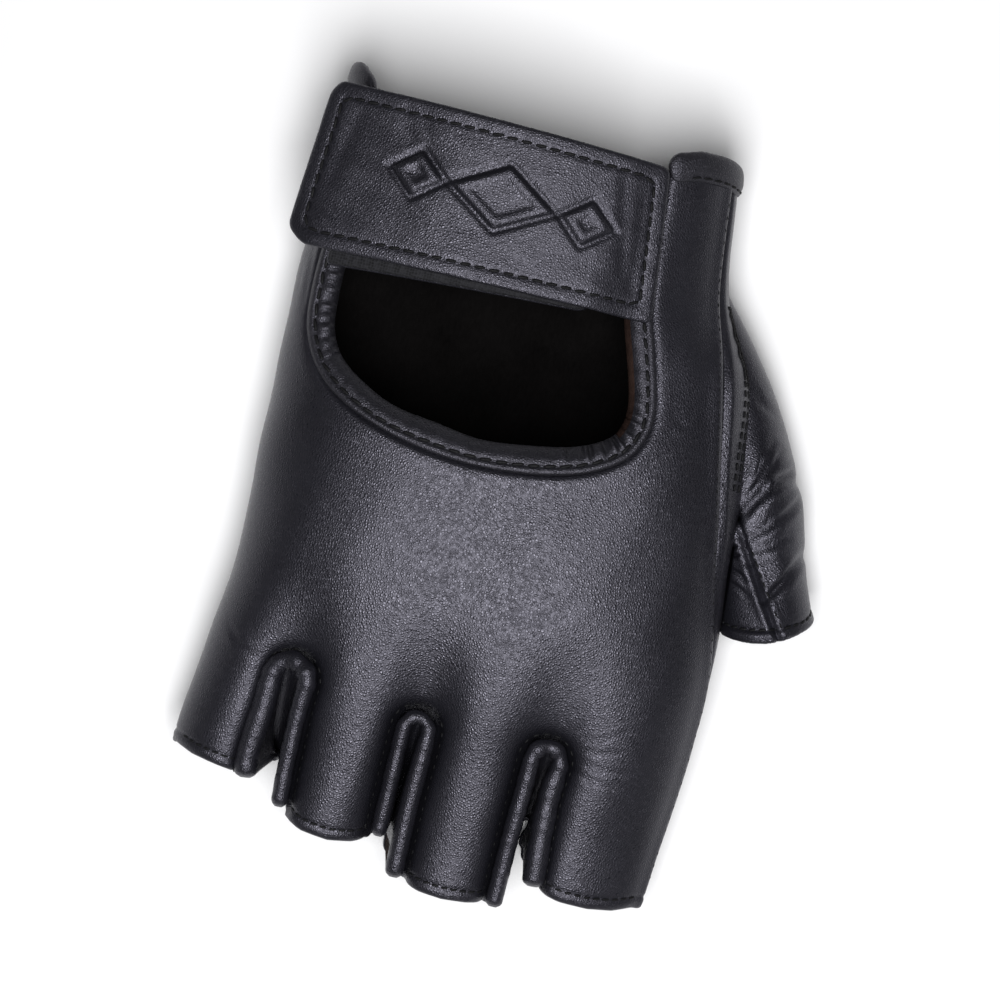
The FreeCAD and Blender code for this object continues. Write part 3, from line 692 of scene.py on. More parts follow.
GRAIN_LEATHER = leather("grain_leather", (0.003, 0.003, 0.0045), (0.0075, 0.0075, 0.0105), 0.27)
BINDING_LEATHER = leather("binding_leather", (0.003, 0.003, 0.004), (0.0075, 0.0073, 0.0095), 0.36, 1.2)
STRAP_LEATHER = leather("strap_leather_look", (0.003, 0.003, 0.0044), (0.0075, 0.0075, 0.0105), 0.28)
# The flesh side of the panels, walls and strap inside the glove is painted near black as painted shade in the
# hollow; the real flesh side is brown, as at the cut edges.
PAINTED_SHADE_FLESH_SIDE = suede("flesh_side_painted_shade", (0.0016, 0.0014, 0.0014), (0.0048, 0.0043, 0.0043))
EDGE_SUEDE = suede("cut_edge_suede", (0.012, 0.007, 0.006), (0.045, 0.027, 0.022))
THREAD = cotton("black_thread", (0.0008, 0.0008, 0.0012), (0.004, 0.004, 0.0055))
LOOP_LOOK = tape("loop_pile", (0.003, 0.003, 0.004), (0.02, 0.02, 0.024), 1700)
HOOK_LOOK = tape("hook_moulding", (0.003, 0.003, 0.003), (0.014, 0.014, 0.015), 1100)


# ---- the back panel

# The leather panels' wrist edge; the rolled edge lies over it.
WRIST_Y = 74.2
OPENING_PITCH = 0.5
OPENING_LINE = smooth_line(OPENING, OPENING_PITCH)
OPENING_LINE = OPENING_LINE[OPENING_LINE[:, 1] < WRIST_Y + 0.01]
SLIT_LINES = [slit_line(name) for name in SLITS]
# Each wrinkle's line in plan, its depth and its width; so for the thumb's folds.
WRINKLES = [
    ([(33.5, -42.5), (38.5, -42.0), (43.5, -40.4)], 0.22, 0.45),
    ([(33.8, -44.6), (39.0, -45.2), (45.0, -44.4), (49, -42.6)], 0.25, 0.5),
    ([(33.4, -46.8), (38.0, -48.0), (43.0, -48.4)], 0.18, 0.5),
    ([(34.5, -40.6), (39.0, -38.6), (43, -35.8)], 0.15, 0.5),
    ([(-32.6, -41.5), (-36.5, -40.0), (-40, -36.5)], 0.2, 0.7),
    ([(7.5, -45.0), (10.5, -43.2), (14.0, -42.4)], 0.14, 0.5),
    ([(-43.6, 47), (-43.3, 38), (-42.6, 28)], 0.3, 0.9),
    ([(-44.4, 44), (-44.6, 36), (-44.2, 29)], 0.25, 0.8),
    ([(33.8, 27.6), (37.0, 25.2), (40.5, 24.4)], 0.05, 0.8),
]
# The form's rough radius at the seam between the panels, and the steps along the panels' outlines.
SEAM_RADIUS = 24
EDGE_PITCH = 0.8


def seam_angle(y, gap=0.25):
    """Where the back and palm panels meet at the thumb side."""
    return 180 - hand("lift", y) - gap


def steps(start, stop):
    """Numbers from start to stop, about the outline's pitch apart."""
    return resample([[start], [stop]], EDGE_PITCH)[:, 0]


def finger_edge(sections, finger, start, stop, shorter):
    """A finger's end in flat places, without its two corners."""
    x = steps(start, stop)[1:-1]
    return sections.from_plan(np.column_stack([x, finger_end(finger, x) + shorter]))


def crossing(a, b, c, d):
    """Where the plan line from a to b crosses the one from c to d, or None."""
    first, second, gap = b - a, d - c, c - a
    turn = first[0] * second[1] - first[1] * second[0]
    if abs(turn) < 1e-12:
        return None
    share = (gap[0] * second[1] - gap[1] * second[0]) / turn
    other = (gap[0] * first[1] - gap[1] * first[0]) / turn
    return a + first * share if 0 <= share <= 1 and 0 <= other <= 1 else None


def untangled(line):
    """The line without the loops between the places where it crosses itself."""
    i = 0
    while i < len(line) - 3:
        for j in range(len(line) - 2, i + 1, -1):
            place = crossing(line[i], line[i + 1], line[j], line[j + 1])
            if place is not None:
                line = np.vstack([line[: i + 1], [place], line[j + 1 :]])
                break
        i += 1
    return line


def panel_loop(sections, seam_gap, ulnar_angle, slit_path, shorter, wrist):
    """A panel's outline in flat places, from the thumb side's wrist corner round the fingers."""
    first = finger_end("index", 54) + shorter
    last = finger_end("little", -44.5) + shorter
    fingertips, start = [], 53.6
    for finger, slit in (("index", "index_middle"), ("middle", "middle_ring"), ("ring", "ring_little")):
        path = slit_path(slit)[::-1]
        fingertips.append(finger_edge(sections, finger, start, path[0, 0], shorter))
        fingertips.append(sections.from_plan(path))
        start = path[-1, 0]
    stop = form(np.array([last]), np.array([2.0]))[0, 0]
    fingertips.append(finger_edge(sections, "little", start, stop, shorter))
    y = steps(WRIST_Y, first)
    radial = sections.from_angle(seam_angle(y, seam_gap), y)
    ulnar = sections.from_angle(ulnar_angle, steps(last, WRIST_Y))
    return np.vstack([radial, untangled(np.vstack(fingertips)), ulnar, wrist])


def slit_dips(plan):
    """Depth of the dips beside the rolled edges."""
    nearest = np.min([distance_to(plan, line)[0] for line in SLIT_LINES], axis=0)
    return 2.5 * bump(nearest, 2.1) + 0.5 * bump(nearest, 5.0)


def end_distance(x, y):
    """How far points are from their finger's end, along the hand."""
    ends = np.full(len(x), 99.0)
    spans = {"little": (-60, -26), "ring": (-26, 1.6), "middle": (1.6, 28.2), "index": (28.2, 70)}
    for finger, (left, right) in spans.items():
        chosen = (x >= left) & (x < right)
        ends[chosen] = y[chosen] - finger_end(finger, x[chosen])
    return ends


def relief(plan, folds, pitch, end, power, ridge, spread, groove):
    """How far folds raise or sink the leather: a groove between ridges, fading at both ends."""
    total = np.zeros(len(plan))
    for points, depth, width in folds:
        line = smooth_line(points, pitch)
        gap, along = distance_to(plan, line)
        fade = np.sin(np.pi * np.clip(along / length_of(line), end, 1 - end)) ** power
        total += fade * depth * (ridge * bump(gap, width * spread) - groove * bump(gap, width))
    return total


def back_surface(flat):
    """Points and normals of the back panel: gentle waves, edges turned in, seams and wrinkles."""
    y = flat[:, 1]
    angle = BACK.angle(flat[:, 0], y)
    base = form(y, angle)
    normal = outward(form, y, angle)
    plan = base[:, :2]
    lift = 0.30 * wobble(base[:, 0], y, 46, 5) + 0.10 * wobble(base[:, 0], y, 17, 8)
    lift -= slit_dips(plan)
    edge = end_distance(base[:, 0], y)
    lift += 0.10 * bump(edge - 1.0, 0.8) - 0.24 * bump(edge - 1.9, 0.36) - 0.1 * bump(edge, 0.4)
    gap = distance_to(plan, OPENING_LINE)[0]
    lift += 0.1 * bump(gap - 2.0, 1.5) - 0.5 * bump(gap, 0.5)
    seam = arc_length(seam_angle(y) - angle, SEAM_RADIUS)
    lift += 0.5 * bump(seam - 2.2, 1.6) - 1.5 * bump(seam, 1.0)
    lift -= 0.35 * bump(arc_length(angle + 7, 20), 0.8)
    lift += relief(plan, WRINKLES, 0.6, 0.02, 0.6, 0.8, 2.6, 1.6)
    return base + normal * lift[:, None], normal


def back_line(plan, lift=0.0):
    """Points and normals on the back panel under a plan line."""
    points, normals = back_surface(BACK.from_plan(plan))
    return points + normals * lift, normals


# ---- sidewalls of the slits

# Rolled edges' radii and how far the walls lean into the gap at the palm: left, crotch, right.
ROLLS = {
    "ring_little": ((2.35, 2.0, 1.7), (3.2, 0.0, -1.2)),
    "middle_ring": ((1.65, 1.5, 1.9), (0.6, 0.0, 1.4)),
    "index_middle": ((1.75, 1.6, 2.3), (-0.4, 0.0, 0.6)),
}
# How much nearer to the fingertips each crotch is at the palm.
SHIFTS = {"ring_little": 18.2, "middle_ring": 19.5, "index_middle": 15.0}
WALL_PITCH = 0.55


def wall_stations(name):
    """Plan path, outward normals, roll radius, lean, roll height, palm height and palm shift."""
    path = slit_line(name, 0.0, WALL_PITCH)
    normal = line_normals(path)
    top = path[:, 1].max()
    on_right = path[:, 0] > (path[0, 0] + path[-1, 0]) / 2
    ends = np.where(on_right, path[-1, 1], path[0, 1])
    down = np.clip((top - path[:, 1]) / (top - ends), 0, 1)
    radii, leans = ROLLS[name]
    blend = smooth((top - path[:, 1]) / 9)
    radius = radii[1] + blend * (np.where(on_right, radii[2], radii[0]) - radii[1])
    lean = smooth((top - path[:, 1] - 3) / 14) * np.where(on_right, leans[2], leans[0])
    beside, _ = back_line(path + normal * 3.4)
    height = averaged(beside[:, 2], 9) - 0.55
    foot = form(path[:, 1], PALM.angle(PALM.from_plan(path)[:, 0], path[:, 1]))[:, 2] + 1.0
    shift = -SHIFTS[name] * (1 - smooth(down * 1.05)) + 3.4 * smooth((down - 0.6) / 0.4)
    along = np.arange(len(path)) * WALL_PITCH
    taper = np.clip(np.minimum(along, along[-1] - along) / 1.6, 0, 1)
    taper = np.sqrt(1 - 0.8 * (1 - taper) ** 2)
    height = height - radius * (1 - taper) * 0.6
    radius = radius * taper
    return path, normal, radius, lean, height, foot, shift


def foot_line(name):
    """Where a sidewall's face in the gap meets the palm, a little outside it."""
    path, normal, radius, lean, _, _, shift = wall_stations(name)
    line = path + normal * (0.2 - radius - lean)[:, None]
    line[:, 1] += shift
    return line


def sidewall_rings(name):
    """Sections of a sidewall: up the gap's face, over the roll and down inside the finger."""
    path, normal, radius, lean, height, foot, shift = wall_stations(name)
    arc = np.radians(np.linspace(180, -50, 19))
    crinkle = wobble(path[:, 0] * 3, path[:, 1] * 3, 7, 21)
    pinch = 0.035 + 0.06 * bump(path[:, 1].max() - path[:, 1], 5)
    rings = []
    for i in range(len(path)):
        r, depth = radius[i], height[i] - foot[i]
        down = np.linspace(-depth, -0.25 * r, 14)
        face = np.column_stack([-r - lean[i] * (-down / depth) ** 1.2, down])
        curl = np.column_stack([np.cos(arc), np.sin(arc)]) * r * (1 + pinch[i] * crinkle[i])
        up = np.linspace(-1.2 * r, -depth, 10)
        back = np.column_stack([1.25 - r - lean[i] * (-up / depth) ** 1.2, up])
        section = np.vstack([face, curl, back])
        share = np.clip(-section[:, 1] / depth, 0, 1)
        plan = path[i] + normal[i] * section[:, :1]
        rings.append(np.column_stack([plan[:, 0], plan[:, 1] + shift[i] * share, height[i] + section[:, 1]]))
    return np.array(rings)


# How many end rows show the leather's brown flesh edge in the gap: at the left and the right leg.
BROWN_ROWS = {"ring_little": (0, 0), "middle_ring": (0, 11), "index_middle": (9, 0)}


def wall_materials(name, rows):
    """A function that gives each face of a sidewall its material."""
    left, right = BROWN_ROWS[name]

    def chosen(row, column):
        if (row < left or row >= rows - right) and (column < 12 or column > 40):
            return 2
        return 1 if column >= 31 else 0

    return chosen


# ---- the palm and the thumb


def wrist_dip(angle):
    """How much nearer to the fingers the wrist edge is at the middle of the palm."""
    return 7.0 * smooth((angle - 196) / 40) * smooth((346 - angle) / 36)


def palm_wrist():
    """The palm panel's wrist edge in flat places, from the little-finger side."""
    angles = np.linspace(352.0, seam_angle(WRIST_Y, -1.0), 240)
    return PALM.from_angle(angles, WRIST_Y - wrist_dip(angles))


def palm_surface(flat):
    """Points and normals of the palm panel, which rests on the floor."""
    y = flat[:, 1]
    angle = PALM.angle(flat[:, 0], y)
    base = form(y, angle)
    normal = outward(form, y, angle)
    seam = arc_length(angle - seam_angle(y, -0.3), SEAM_RADIUS)
    edge = end_distance(base[:, 0], y)
    lift = 0.25 * wobble(base[:, 0], base[:, 2] + y, 30, 12) - 0.9 * bump(seam, 0.8)
    lift += 0.25 * bump(edge - 0.9, 0.9) - 0.25 * bump(edge - 2.0, 0.42)
    points = base + normal * lift[:, None]
    points[:, 2] = np.maximum(points[:, 2], 0.0)
    return points, normal


def inside_hand(points):
    """Below 1 inside the hand's form."""
    x, y, z = points.T
    middle = (hand("ulnar", y) + hand("radial", y)) / 2
    middle, half, wide, tall, power = section_at(y, z >= hand("wide", y), x < middle)
    return (np.abs((x - middle) / half) ** power + np.abs((z - wide) / tall) ** power) ** (1 / power)


def inside_thumb(points):
    """Below 1 inside the thumb's tube."""
    x, y, z = points.T
    across = (x - thumb("x", y)) / thumb("half", y)
    up = (z - thumb("z", y)) / thumb("tall", y)
    return np.hypot(across, up)


# The thumb's crotch, the top of its root, and the plane of its open end.
CROTCH_Y = 4.4
ROOT_Y = 53.0
RIM_POINT = np.array([63, -8.5, 12.2])
RIM_NORMAL = np.array([0.3, -0.9, -0.33])


def rim_y(angle):
    """Where a line of the thumb's tube meets the plane of its open end."""
    y = np.arange(4.0, -20.0, -0.1)
    past = (thumb_form(y, np.full(len(y), angle)) - RIM_POINT) @ RIM_NORMAL > 0
    return y[np.argmax(past)]


def thumb_hole():
    """The hole in the palm panel that the thumb comes out of, in flat places."""
    centre = PALM.from_angle(190.0, np.array([26.0]))[0]
    turn = np.linspace(0, 2 * math.pi, 96, endpoint=False)
    way = np.column_stack([np.cos(turn), np.sin(turn)])
    low, high = np.zeros(len(turn)), np.full(len(turn), 60.0)
    for _ in range(26):
        reach = (low + high) / 2
        u, y = (centre + way * reach[:, None]).T
        angle = PALM.angle(u, y)
        held = (inside_thumb(form(y, angle)) < 1) & (y > CROTCH_Y) & (y < ROOT_Y + 0.5)
        held &= angle > seam_angle(y) + 1.5
        low, high = np.where(held, reach, low), np.where(held, high, reach)
    return resample(closed_line(centre + way * low[:, None]), 0.8)[:-1]


def thumb_rows(start_angles, stop_angles, count):
    """Where each line of the thumb's tube leaves the hand and where it ends, as rows of y."""
    start = []
    y = np.arange(ROOT_Y, CROTCH_Y, -0.2)
    for angle in start_angles:
        held = y[inside_hand(thumb_form(y, np.full(len(y), angle))) < 1]
        start.append(held[-1] if len(held) else ROOT_Y)
    start = averaged(start, 7) + 1.2
    stop = np.array([rim_y(angle) for angle in stop_angles])
    return start + (stop - start) * np.linspace(0, 1, count)[:, None]


THUMB_FOLDS = [
    ([(50.8, 7.4), (53.6, 12.0), (57.4, 17.5), (62.6, 23.6)], 1.3, 0.9),
    ([(55.0, 6.4), (58.4, 9.6), (62.2, 13.6), (64.6, 18.6)], 0.8, 0.8),
    ([(62.2, -4.4), (64.8, -0.2), (67.2, 4.6), (69.4, 8.0)], 0.9, 0.9),
    ([(52.6, 14.0), (54.4, 20.0), (56.4, 27.0)], 0.5, 0.7),
    ([(54.4, 15.2), (56.4, 20.4), (58.2, 26.4)], 0.35, 0.6),
    ([(57.0, 4.6), (60.5, 6.4), (64.4, 9.6)], 0.4, 0.7),
    ([(49.6, 36.0), (52.6, 33.6), (56.0, 33.0)], 0.3, 0.9),
    ([(54.8, 1.8), (58.2, 2.4), (62.0, 4.8)], 0.3, 0.6),
    ([(52.4, 4.9), (53.6, 4.7), (55.2, 4.9)], 0.5, 0.4),
    ([(52.6, 3.2), (54.0, 2.9), (55.6, 3.5)], 0.5, 0.4),
    ([(52.8, 0.4), (55.4, -0.2), (57.4, -1.4)], 0.35, 0.5),
    ([(53.6, -2.2), (56.2, -3.0), (58.6, -4.4)], 0.3, 0.5),
]


def thumb_folds(base, normal):
    """How far the outer side's notches and the folds on top raise or sink the thumb's leather."""
    (x, y, z), (outer, _, up) = base.T, normal.T
    lift = 0.3 * wobble(x + z, y, 19, 31)
    lift -= np.clip(outer, 0, 1) * (0.8 * bump(y - 20.6, 1.5) + 0.45 * bump(y - 6.8, 1.4))
    folds = relief(base[:, :2], THUMB_FOLDS, 0.8, 0.04, 0.5, 0.7, 2.4, 1.5)
    return lift + np.clip(up * 2, 0, 1) * folds


def out_of_hand(points):
    """The points with those beyond the crotch pressed out of the hand's form and off the floor."""
    held, y = inside_hand(points), points[:, 1]
    middle = (hand("ulnar", y) + hand("radial", y)) / 2
    centre = np.column_stack([middle, y, hand("wide", y)])
    pressed = (y < CROTCH_Y + 0.4) & (held < 1.008)
    pushed = centre + (points - centre) * (1.008 / np.maximum(held, 0.3))[:, None]
    points = np.where(pressed[:, None], pushed, points)
    points[:, 2] = np.maximum(points[:, 2], 0.05)
    return points


def thumb_surface(y, angle):
    """Points and normals of the thumb's tube: its folds, the upper seam and the hem."""
    base = thumb_form(y, angle)
    normal = outward(thumb_form, y, angle)
    middle = np.stack(np.broadcast_arrays(thumb("x", y), y, thumb("z", y)), -1)
    inwards = np.sum(normal * (base - middle), -1, keepdims=True) < 0
    normal = np.where(inwards, -normal, normal)
    lift = thumb_folds(base.reshape(-1, 3), normal.reshape(-1, 3)).reshape(base.shape[:-1])
    seam = arc_length(angle - thumb("seam", y), 10)
    lift += 0.3 * bump(np.abs(seam) - 1.6, 1.0) - 0.9 * bump(seam, 0.7)
    end = -(base - RIM_POINT) @ (RIM_NORMAL / np.linalg.norm(RIM_NORMAL))
    lift = lift + 0.3 * bump(end - 0.8, 0.8) - 0.3 * bump(end - 2.0, 0.45)
    points = base + normal * lift[..., None]
    return out_of_hand(points.reshape(-1, 3)).reshape(points.shape), normal


def grid_sheet(name, top, under, materials):
    """A closed sheet between two grids of points, with rounded edges all round."""
    rows, columns = top.shape[:2]
    r, c = np.arange(rows), np.arange(columns)
    ring = np.concatenate([
        c, r[1:] * columns + columns - 1, ((rows - 1) * columns + c)[::-1][1:], (r * columns)[::-1][1:-1]
    ])
    middle = top[rows // 2, columns // 2]
    top, under = top.reshape(-1, 3), under.reshape(-1, 3)
    edge = top[ring]
    out = unit(np.cross(ring_steps(edge), edge - under[ring]))
    if np.mean(np.sum(out * (middle - edge), 1)) > 0:
        out = -out
    return two_sided(name, [top, under], grid_quads(rows, columns), [ring], [out], materials)


def thumb_half(name, first, last, materials):
    """Half of the thumb's tube, from first degrees past the upper seam round to the angle last."""
    share = np.linspace(0, 1, 64)
    start, stop = (seam + first + (last - seam - first) * share for seam in (61, 104))
    y = thumb_rows(start, stop, 90)
    near = thumb("seam", y) + first
    top, normal = thumb_surface(y, near + (last - near) * share)
    return grid_sheet(name, top, top - normal * LEATHER, materials)


# ---- bindings

# The opening's binding: distance into the hole and height over the back, from its outer edge.
BINDING = [
    (0.0, -1.2), (-0.05, -0.45), (0.12, 0.12), (0.5, 0.42), (0.95, 0.45), (1.35, 0.25), (1.7, -0.1),
    (2.1, 0.0), (2.8, -0.05), (3.6, -0.45), (4.4, -1.1), (5.0, -1.9), (5.45, -2.8), (5.6, -3.6), (5.3, -4.2),
    (4.7, -4.1), (4.3, -3.3), (3.7, -2.5), (2.8, -1.8), (1.9, -1.5), (0.9, -1.45),
]
# The points of the two bindings' sections that their stitches lie on.
GROOVE_COLUMN = 6
WRIST_GROOVE_COLUMN = 8
# Where the opening's band gathers: a corner's x and y, how far round it and how much.
GATHERS = [(27, 17, 11, 1.0), (-40, 30, 14, 0.6)]


def back_angle(plan):
    return BACK.angle(BACK.from_plan(plan)[:, 0], plan[:, 1])


def ripple(along, wavelength, seed):
    return wobble(along, 0 * along, wavelength, seed)


def gathers(line, along):
    """Height of the folds in the opening's band, small all round and deeper at its corners."""
    corner = 0
    for x, y, size, share in GATHERS:
        corner = corner + share * bump(np.hypot(line[:, 0] - x, line[:, 1] - y), size)
    folds = 2.2 * np.sin(along * 2.1 + 1.2 * np.sin(along * 0.7)) + 1.1 * np.sin(along * 3.7)
    return ripple(along, 5.2, 41) * 0.4 + ripple(along, 2.6, 42) * 0.25 + corner * folds


def binding_rings():
    """Sections of the opening's binding, from the little-finger side of the wrist round."""
    line = OPENING_LINE[OPENING_LINE[:, 1] < 72.6]
    inward = line_normals(line)
    along = np.arange(len(line)) * OPENING_PITCH
    edge_height = form(line[:, 1], back_angle(line))[:, 2]
    folds = gathers(line, along)
    width = 1 + 0.03 * ripple(along, 14, 43)
    rings = []
    for reach, height in BINDING:
        plan = line + inward * (reach * width)[:, None]
        over = form(plan[:, 1], back_angle(plan))[:, 2]
        share = smooth((reach - 1.8) / 3.0)
        z = edge_height + (over - edge_height) * 0.75 + height + share * folds * 0.42
        rings.append(np.column_stack([plan, z]))
    return np.stack(rings, 1)


def wrist_rings():
    """The rolled wrist edge, from the opening round the thumb side and the palm to the opening."""
    first = back_angle(np.array([[21.2, 74.0]]))[0]
    last = back_angle(np.array([[-39.6, 74.0]]))[0] + 360
    angles = np.linspace(first, last, 420)
    turn = np.linspace(0, 2 * math.pi, 22, endpoint=False)
    upper = np.sin(turn) > 0
    base = form(np.full(len(angles), 76.0), angles)
    length = np.concatenate([[0], np.cumsum(np.linalg.norm(np.diff(base, axis=0), axis=1))])
    to_end = np.minimum(length, length[-1] - length)
    rings = []
    for angle, reach in zip(angles, to_end):
        plump = math.sqrt(1 - (1 - min(reach / 2.6, 1)) ** 2 * 0.97)
        y = 76.2 + 3.0 * plump * signed_power(np.cos(turn), 0.9)
        out = np.where(upper, 1.25, 1.9) * plump * signed_power(np.sin(turn), 0.85) - 0.2
        out -= 0.25 * bump(y - WRIST_Y, 0.5) * upper
        y += 0.3 * ripple(np.array([angle * 0.7]), 21, 51)[0] - wrist_dip(angle)
        y -= (2.7 if angle > 270 else 1.9) * (1 - smooth(reach / 8.0))
        spread = np.full(len(turn), angle)
        rings.append(form(y, spread) + outward(form, y, spread) * out[:, None])
    rings = np.array(rings)
    rings[:, :, 2] = np.maximum(rings[:, :, 2], 0.02)
    return rings


# ---- strap and tab

# The strap and the tab are parts of one arch: its middle in plan, its top, and its slope along the hand.
STRAP_MIDDLE = np.array([-5.0, 58.0])
ARCH_AXIS = -60.9
STRAP_SLOPE = math.radians(-1.5)
# Outer radius of each layer's arch.
ARCHES = {"strap": 104.9, "lining": 103.9, "hooks": 102.5, "pile": 101.0, "tab": 99.5}
STRAP_PLAN = [(26.7, 15.6), (-41.0, 15.9), (-42.5, 13.6), (-44.0, -14.3), (-40.4, -17.0), (31.1, -14.8)]
TAB_PLAN = [(-31.5, 12.5), (-34.8, -19.4), (16.6, -15.7), (18.6, -13.7), (18.6, 10.5), (16.6, 12.5)]
HOOK_PLAN = [(12, 12.2), (-38, 12), (-38.2, -12), (12.1, -12.1)]


def arch(local, radius):
    """Points and normals on the strap's arch over local plan places."""
    x, y = local[:, 0], local[:, 1]
    rise = np.sqrt(radius**2 - x**2)
    z = rise - radius
    turned_y = y * math.cos(STRAP_SLOPE) - z * math.sin(STRAP_SLOPE)
    turned_z = y * math.sin(STRAP_SLOPE) + z * math.cos(STRAP_SLOPE)
    points = np.column_stack([x + STRAP_MIDDLE[0], turned_y + STRAP_MIDDLE[1], turned_z + ARCH_AXIS + radius])
    normals = unit(np.column_stack([x, np.full(len(x), math.sin(-STRAP_SLOPE) * radius), rise]))
    return points, normals


def corners_of(outline):
    """Each corner of a closed outline with its neighbours, as (before, corner, after)."""
    outline = np.asarray(outline, float)
    return zip(np.roll(outline, 1, 0), outline, np.roll(outline, -1, 0))


def rounded(outline, radius):
    """A closed outline with its corners cut round, counter-clockwise or clockwise as given."""
    points = []
    for before, corner, after in corners_of(outline):
        reach = min(radius, 0.4 * np.linalg.norm(before - corner), 0.4 * np.linalg.norm(after - corner))
        start, end = corner + unit(before - corner) * reach, corner + unit(after - corner) * reach
        for share in np.linspace(0, 1, 7):
            points.append((1 - share) ** 2 * start + 2 * share * (1 - share) * corner + share**2 * end)
    return np.array(points)


def inset(outline, distance):
    """A closed outline moved inwards."""
    turn = np.sign(signed_area(np.asarray(outline, float)))
    points = []
    for before, corner, after in corners_of(outline):
        a, b = unit(corner - before), unit(after - corner)
        left = unit(np.array([-a[1] - b[1], a[0] + b[0]])) * turn
        scale = distance / max(abs(left @ np.array([-a[1], a[0]])), 0.3)
        points.append(corner + left * scale)
    return np.array(points)


STRAP_LOOP = rounded(STRAP_PLAN, 1.6)
STRAP_STITCH = rounded(inset(STRAP_PLAN, 2.7), 1.2)


def lozenge(x, y, half_long, half_wide):
    """How far inside a lozenge round the origin each point is, in millimetres."""
    inside_by = (1 - np.abs(x) / half_long - np.abs(y) / half_wide) * half_long * half_wide
    return inside_by / math.hypot(half_long, half_wide)


def ornament(local):
    """Height of the embossed row of lozenges: raised shapes in pressed outlines."""
    angle = math.radians(-1.6)
    x, y = (local - [-4.2, 1.2]).T
    across = x * math.cos(angle) + y * math.sin(angle)
    up = -x * math.sin(angle) + y * math.cos(angle)
    height = np.zeros(len(local))
    for at, long, wide in ((-17.5, 5.2, 4.4), (0.0, 10.5, 6.4), (17.5, 5.2, 4.4)):
        depth = lozenge(across - at, up, long, wide)
        height += 0.5 * smooth((depth + 0.1) / 0.7) - 0.55 * bump(depth + 0.55, 0.5)
        height -= 0.35 * smooth((depth - 1.7) / 0.6)
    return height


# The strap's soft dents, each a line in its own plan and a depth.
STRAP_DENTS = [
    ((-27, 13), (-22, 2), 0.16), ((-23, 12), (-19, 5), 0.12), ((18, 12), (22.5, -6), 0.2),
    ((23.5, 8), (25.5, -9), 0.16), ((-9, -6), (3, -11), 0.1), ((-38, -4), (-36, 10), 0.12),
]


def strap_surface(flat):
    """Points and normals of the strap's top: its stitched edge, ornament, dents and sunk root."""
    points, normals = arch(flat, ARCHES["strap"])
    edge = distance_to(flat, closed_line(STRAP_LOOP))[0]
    line = distance_to(flat, closed_line(STRAP_STITCH))[0]
    x, y = flat[:, 0], flat[:, 1]
    lift = -0.16 * bump(edge, 0.3) - 0.24 * bump(line, 0.34)
    lift += 0.16 * wobble(x, y, 26, 61) + 0.05 * wobble(x, y, 8, 62) + ornament(flat)
    for start, end, depth in STRAP_DENTS:
        gap = distance_to(flat, np.array([start, end], float))[0]
        lift -= depth * bump(gap, 1.4)
    lift -= 1.5 * smooth((x - 16) / 12)
    return points + normals * lift[:, None], normals


def layer(name, outline, radius, look, spacing, thickness):
    """A plain sheet under the strap's top or on the tab, in one layer of the arch."""
    top_radius = ARCHES[radius]

    def surface(flat):
        points, normals = arch(flat, top_radius)
        lift = -1.3 * smooth((flat[:, 0] - 16) / 12)
        return points + normals * lift[:, None], normals

    return leather_sheet(name, [outline], surface, look, spacing, thickness)


# ---- pieces


def settle(piece, body, slot, *nodes):
    """Rides a piece on its body and lets it stand for its CAD nodes."""
    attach(piece, body)
    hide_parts(*nodes)
    return piece


def settle_on_strap(piece, node):
    """For a strap piece that stays sewn to the shell at the strap's root: hides its CAD node and bakes its
    place into its mesh, without riding it on a body.
    """
    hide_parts(node)
    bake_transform(piece)


LEATHERS = [GRAIN_LEATHER, PAINTED_SHADE_FLESH_SIDE]
STRAP_LEATHERS = [STRAP_LEATHER, PAINTED_SHADE_FLESH_SIDE]

back_outline = panel_loop(BACK, 0.25, -6.8, slit_line, 0.0, BACK.from_plan(OPENING_LINE))
back = leather_sheet("back_leather", [back_outline], back_surface, LEATHERS)
settle(back, "glove_shell", "black_leather", "back_panel")

palm_outline = panel_loop(PALM, -0.3, 352.7, foot_line, 3.4, palm_wrist())
palm = leather_sheet("palm_leather", [palm_outline, thumb_hole()], palm_surface, LEATHERS, spacing=1.3)
settle(palm, "glove_shell", "black_leather", "palm_panel")

for slit in SLITS:
    wall = sidewall_rings(slit)
    looks = wall_materials(slit, len(wall) - 1)
    piece = sweep(f"{slit}_sidewall", wall, [*LEATHERS, EDGE_SUEDE], looks)
    settle(piece, "glove_shell", "black_leather", f"sidewall_{slit}")

for half, first, last in (("outer", 1.0, 299.0), ("inner", -1.0, -59.0)):
    piece = thumb_half(f"thumb_{half}_leather", first, last, LEATHERS)
    settle(piece, "glove_shell", "black_leather", f"thumb_{half}")

lip = binding_rings()
turned = (lip[:, GROOVE_COLUMN, 0] > 24) & (lip[:, GROOVE_COLUMN, 1] > 18)


def binding_material(row, column):
    """The underside, and the lip's inner part at the thumb side, show the flesh side."""
    return int(column > 15 or (turned[row] and column > 9))


binding = sweep("opening_binding_leather", lip, [BINDING_LEATHER, EDGE_SUEDE], binding_material)
settle(binding, "glove_shell", "black_leather", "opening_binding")
wrist_roll = wrist_rings()
wrist = sweep("wrist_roll", wrist_roll, [BINDING_LEATHER])
settle(wrist, "glove_shell", "black_leather", "wrist_binding")

